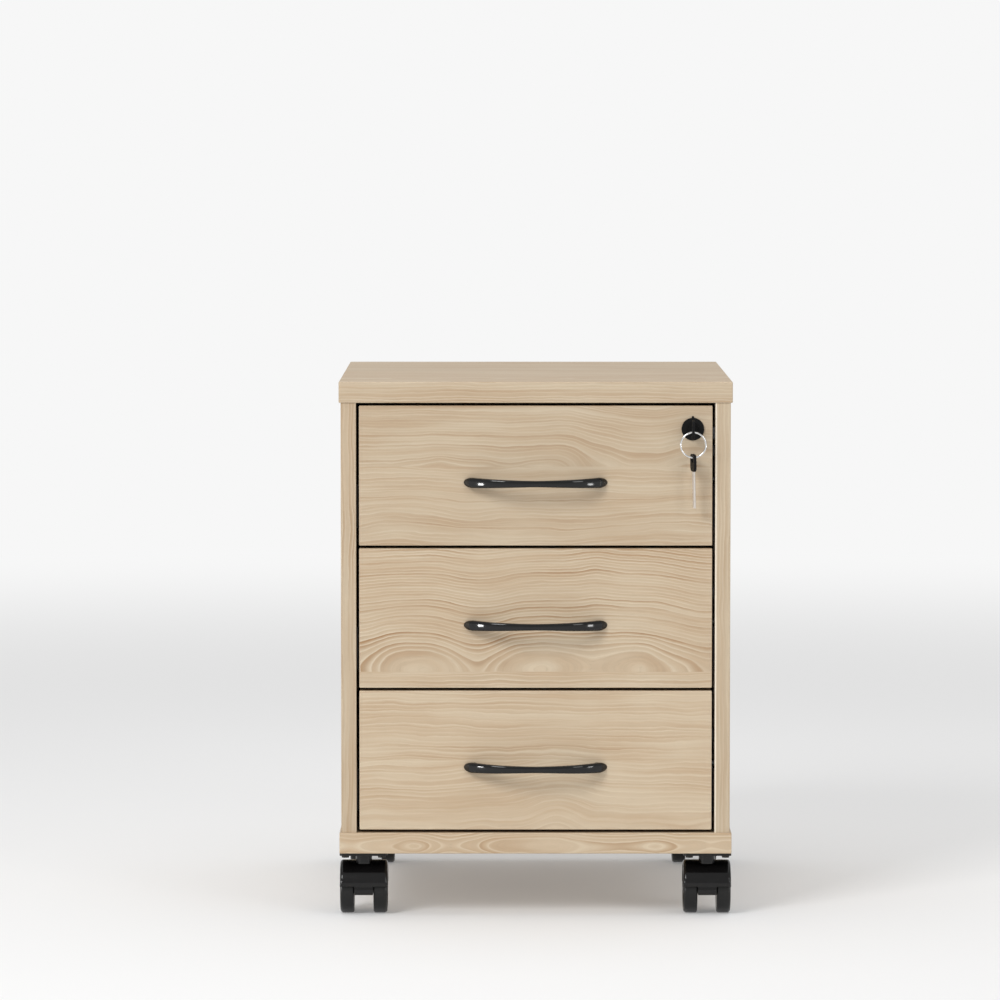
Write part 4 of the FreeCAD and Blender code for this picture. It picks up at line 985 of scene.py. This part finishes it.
def caster_wheels(name):
    """Two wheels with rounded treads, ribbed dishes and domed hubs, and their axle."""
    node = f"{name}_caster_wheels"
    axle = middle_of(node)
    radius = size_mm(node).z / 2
    wide = size_mm(f"{name}_caster_hood").x / 2 - WEB_HALF - WHEEL_GAP
    outline = [(0.0, 3.1), (0.0, radius - 1.0), (1.0, radius),
               *arc((wide - 3.2, radius - 3.0), 3.0, 90, 0),
               (wide - 0.3, radius - 4.8), (wide - 1.4, radius - 5.6), (wide - 2.6, radius - 6.2),
               (wide - 3.0, 10.2), (wide - 1.4, 9.4), (wide - 0.9, 8.2),
               *arc((wide - 3.6, 3.4), 3.2, 60, 0, 3), (wide - 0.4, 3.1)]
    shape = bmesh.new()
    for side in (-1, 1):
        frame_of = at(axle, Matrix.Diagonal((side, 1, 1, 1)))
        placed = [(along + WEB_HALF + WHEEL_GAP, high) for along, high in outline]
        lathe(shape, placed, frame_of, steps=72)
        face = WEB_HALF + WHEEL_GAP + wide
        for number in range(RIB_COUNT):
            spoke = frame_of @ Matrix.Rotation(2 * math.pi * number / RIB_COUNT, 4, "X")
            rib = [(-0.7, 9.6), (0.7, 9.6), (0.9, radius - 5.8), (-0.9, radius - 5.8)]
            plate(shape, rib, face - 3.4, face - 1.7, spoke @ FACE_X)
    piece(f"{name}_twin_wheels", shape, WHEEL_BLACK, node, [node])
    reach = size_mm(node).x / 2 - AXLE_SUNK
    end = AXLE_RADIUS - AXLE_CHAMFER
    pin = [(-reach, 0.0), (-reach, end), (AXLE_CHAMFER - reach, AXLE_RADIUS),
           (reach - AXLE_CHAMFER, AXLE_RADIUS), (reach, end), (reach, 0.0)]
    rod = bmesh.new()
    lathe(rod, pin, at(axle), steps=28)
    piece(f"{name}_axle", rod, SCREW_STEEL, node, [node])


for level in LEVELS:
    handle(level)
keys()
for name in CASTERS:
    caster_hood(name)
    caster_wheels(name)


# ---------------------------------------------------------------- floor, light and camera

BACKDROP = 0.930
AMBIENT = 0.55
FLOOR_ALBEDO = 0.86
FLOOR_FADE = (1.6, 4.5)
FLOOR_HALF = 60.0
FLOOR_GLOW = 0.19
CAMERA_LENS = 200.0
CAMERA_SENSOR = 36.0
CAMERA_CLIP = 200.0
CAMERA_AWAY = 5.77
CAMERA_HIGH = 0.850
CAMERA_ASIDE = -0.0345
CAMERA_PITCH = 4.097
CAMERA_YAW = 0.026


def studio_floor():
    """A pale floor, slightly luminous, that fades into the backdrop far from the object."""
    look = Look("studio_floor")
    x, y, _ = look.axes(look.place)
    far = look.math("SQRT", x * x + y * y).smooth(*FLOOR_FADE)
    look.set(Base_Color=grey(FLOOR_ALBEDO), Roughness=0.9, Specular_IOR_Level=0.1)
    glow = look.node("ShaderNodeEmission", Color=grey(BACKDROP), Strength=1.0)
    mixed = look.node("ShaderNodeMixShader")
    look.feed(mixed.inputs[0], far * (1.0 - FLOOR_GLOW) + FLOOR_GLOW)
    look.feed(mixed.inputs[1], look.shader.outputs[0])
    look.feed(mixed.inputs[2], glow.outputs[0])
    look.feed(look.tree.nodes["Material Output"].inputs["Surface"], mixed.outputs[0])
    mesh = bpy.data.meshes.new("studio_floor")
    corners = [(-FLOOR_HALF, -FLOOR_HALF), (FLOOR_HALF, -FLOOR_HALF),
               (FLOOR_HALF, FLOOR_HALF), (-FLOOR_HALF, FLOOR_HALF)]
    mesh.from_pydata([(x, y, 0.0) for x, y in corners], [], [(0, 1, 2, 3)])
    mesh.materials.append(look.material)
    link(bpy.data.objects.new("studio_floor", mesh))


def backdrop():
    """An even world: bright where the camera sees it, softer as light."""
    world = bpy.data.worlds.new("studio")
    bpy.context.scene.world = world
    world.use_nodes = True
    tree = world.node_tree
    seen = tree.nodes["Background"]
    seen.inputs["Color"].default_value = grey(BACKDROP)
    ambient = tree.nodes.new("ShaderNodeBackground")
    ambient.inputs["Color"].default_value = grey(AMBIENT)
    rays = tree.nodes.new("ShaderNodeLightPath")
    mixed = tree.nodes.new("ShaderNodeMixShader")
    tree.links.new(rays.outputs["Is Camera Ray"], mixed.inputs[0])
    tree.links.new(ambient.outputs[0], mixed.inputs[1])
    tree.links.new(seen.outputs[0], mixed.inputs[2])
    tree.links.new(mixed.outputs[0], tree.nodes["World Output"].inputs["Surface"])


def softbox(name, place, size, power, target, only_gloss=False):
    """A rectangular light that faces a point; one that is only for gloss lights no matt surface."""
    light = bpy.data.lights.new(name, "AREA")
    light.shape = "RECTANGLE"
    light.size, light.size_y = size
    light.energy = power
    lamp = link(bpy.data.objects.new(name, light))
    lamp.visible_diffuse = not only_gloss
    lamp.location = place
    lamp.rotation_euler = (Vector(target) - Vector(place)).to_track_quat("-Z", "Y").to_euler()


def camera():
    """A long lens in front of the cabinet, a little above it and level from side to side."""
    data = bpy.data.cameras.new("camera")
    data.lens = CAMERA_LENS
    data.sensor_width = CAMERA_SENSOR
    data.clip_end = CAMERA_CLIP
    eye = link(bpy.data.objects.new("camera", data))
    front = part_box("upper_front")[0].y
    eye.location = (CAMERA_ASIDE, front - CAMERA_AWAY, CAMERA_HIGH)
    eye.rotation_euler = (math.radians(90 - CAMERA_PITCH), 0, math.radians(CAMERA_YAW))
    bpy.context.scene.camera = eye


studio_floor()
backdrop()
middle = (cad_box[0] + cad_box[1]) / 2
softbox("key", (-2.2, -3.4, 3.0), (1.6, 1.6), 100, middle)
softbox("fill", (2.6, -3.2, 1.6), (1.2, 1.2), 22, middle)
softbox("overhead", (0.0, 0.2, 3.4), (3.0, 3.0), 34, middle)
softbox("left_glint", (-2.2, -1.25, 0.19), (0.42, 0.22), 15, (-0.06, -0.23, 0.19), only_gloss=True)
softbox("right_glint", (2.2, -1.25, 0.19), (0.42, 0.22), 5, (0.06, -0.23, 0.19), only_gloss=True)
camera()
bpy.context.scene.view_settings.view_transform = "Standard"
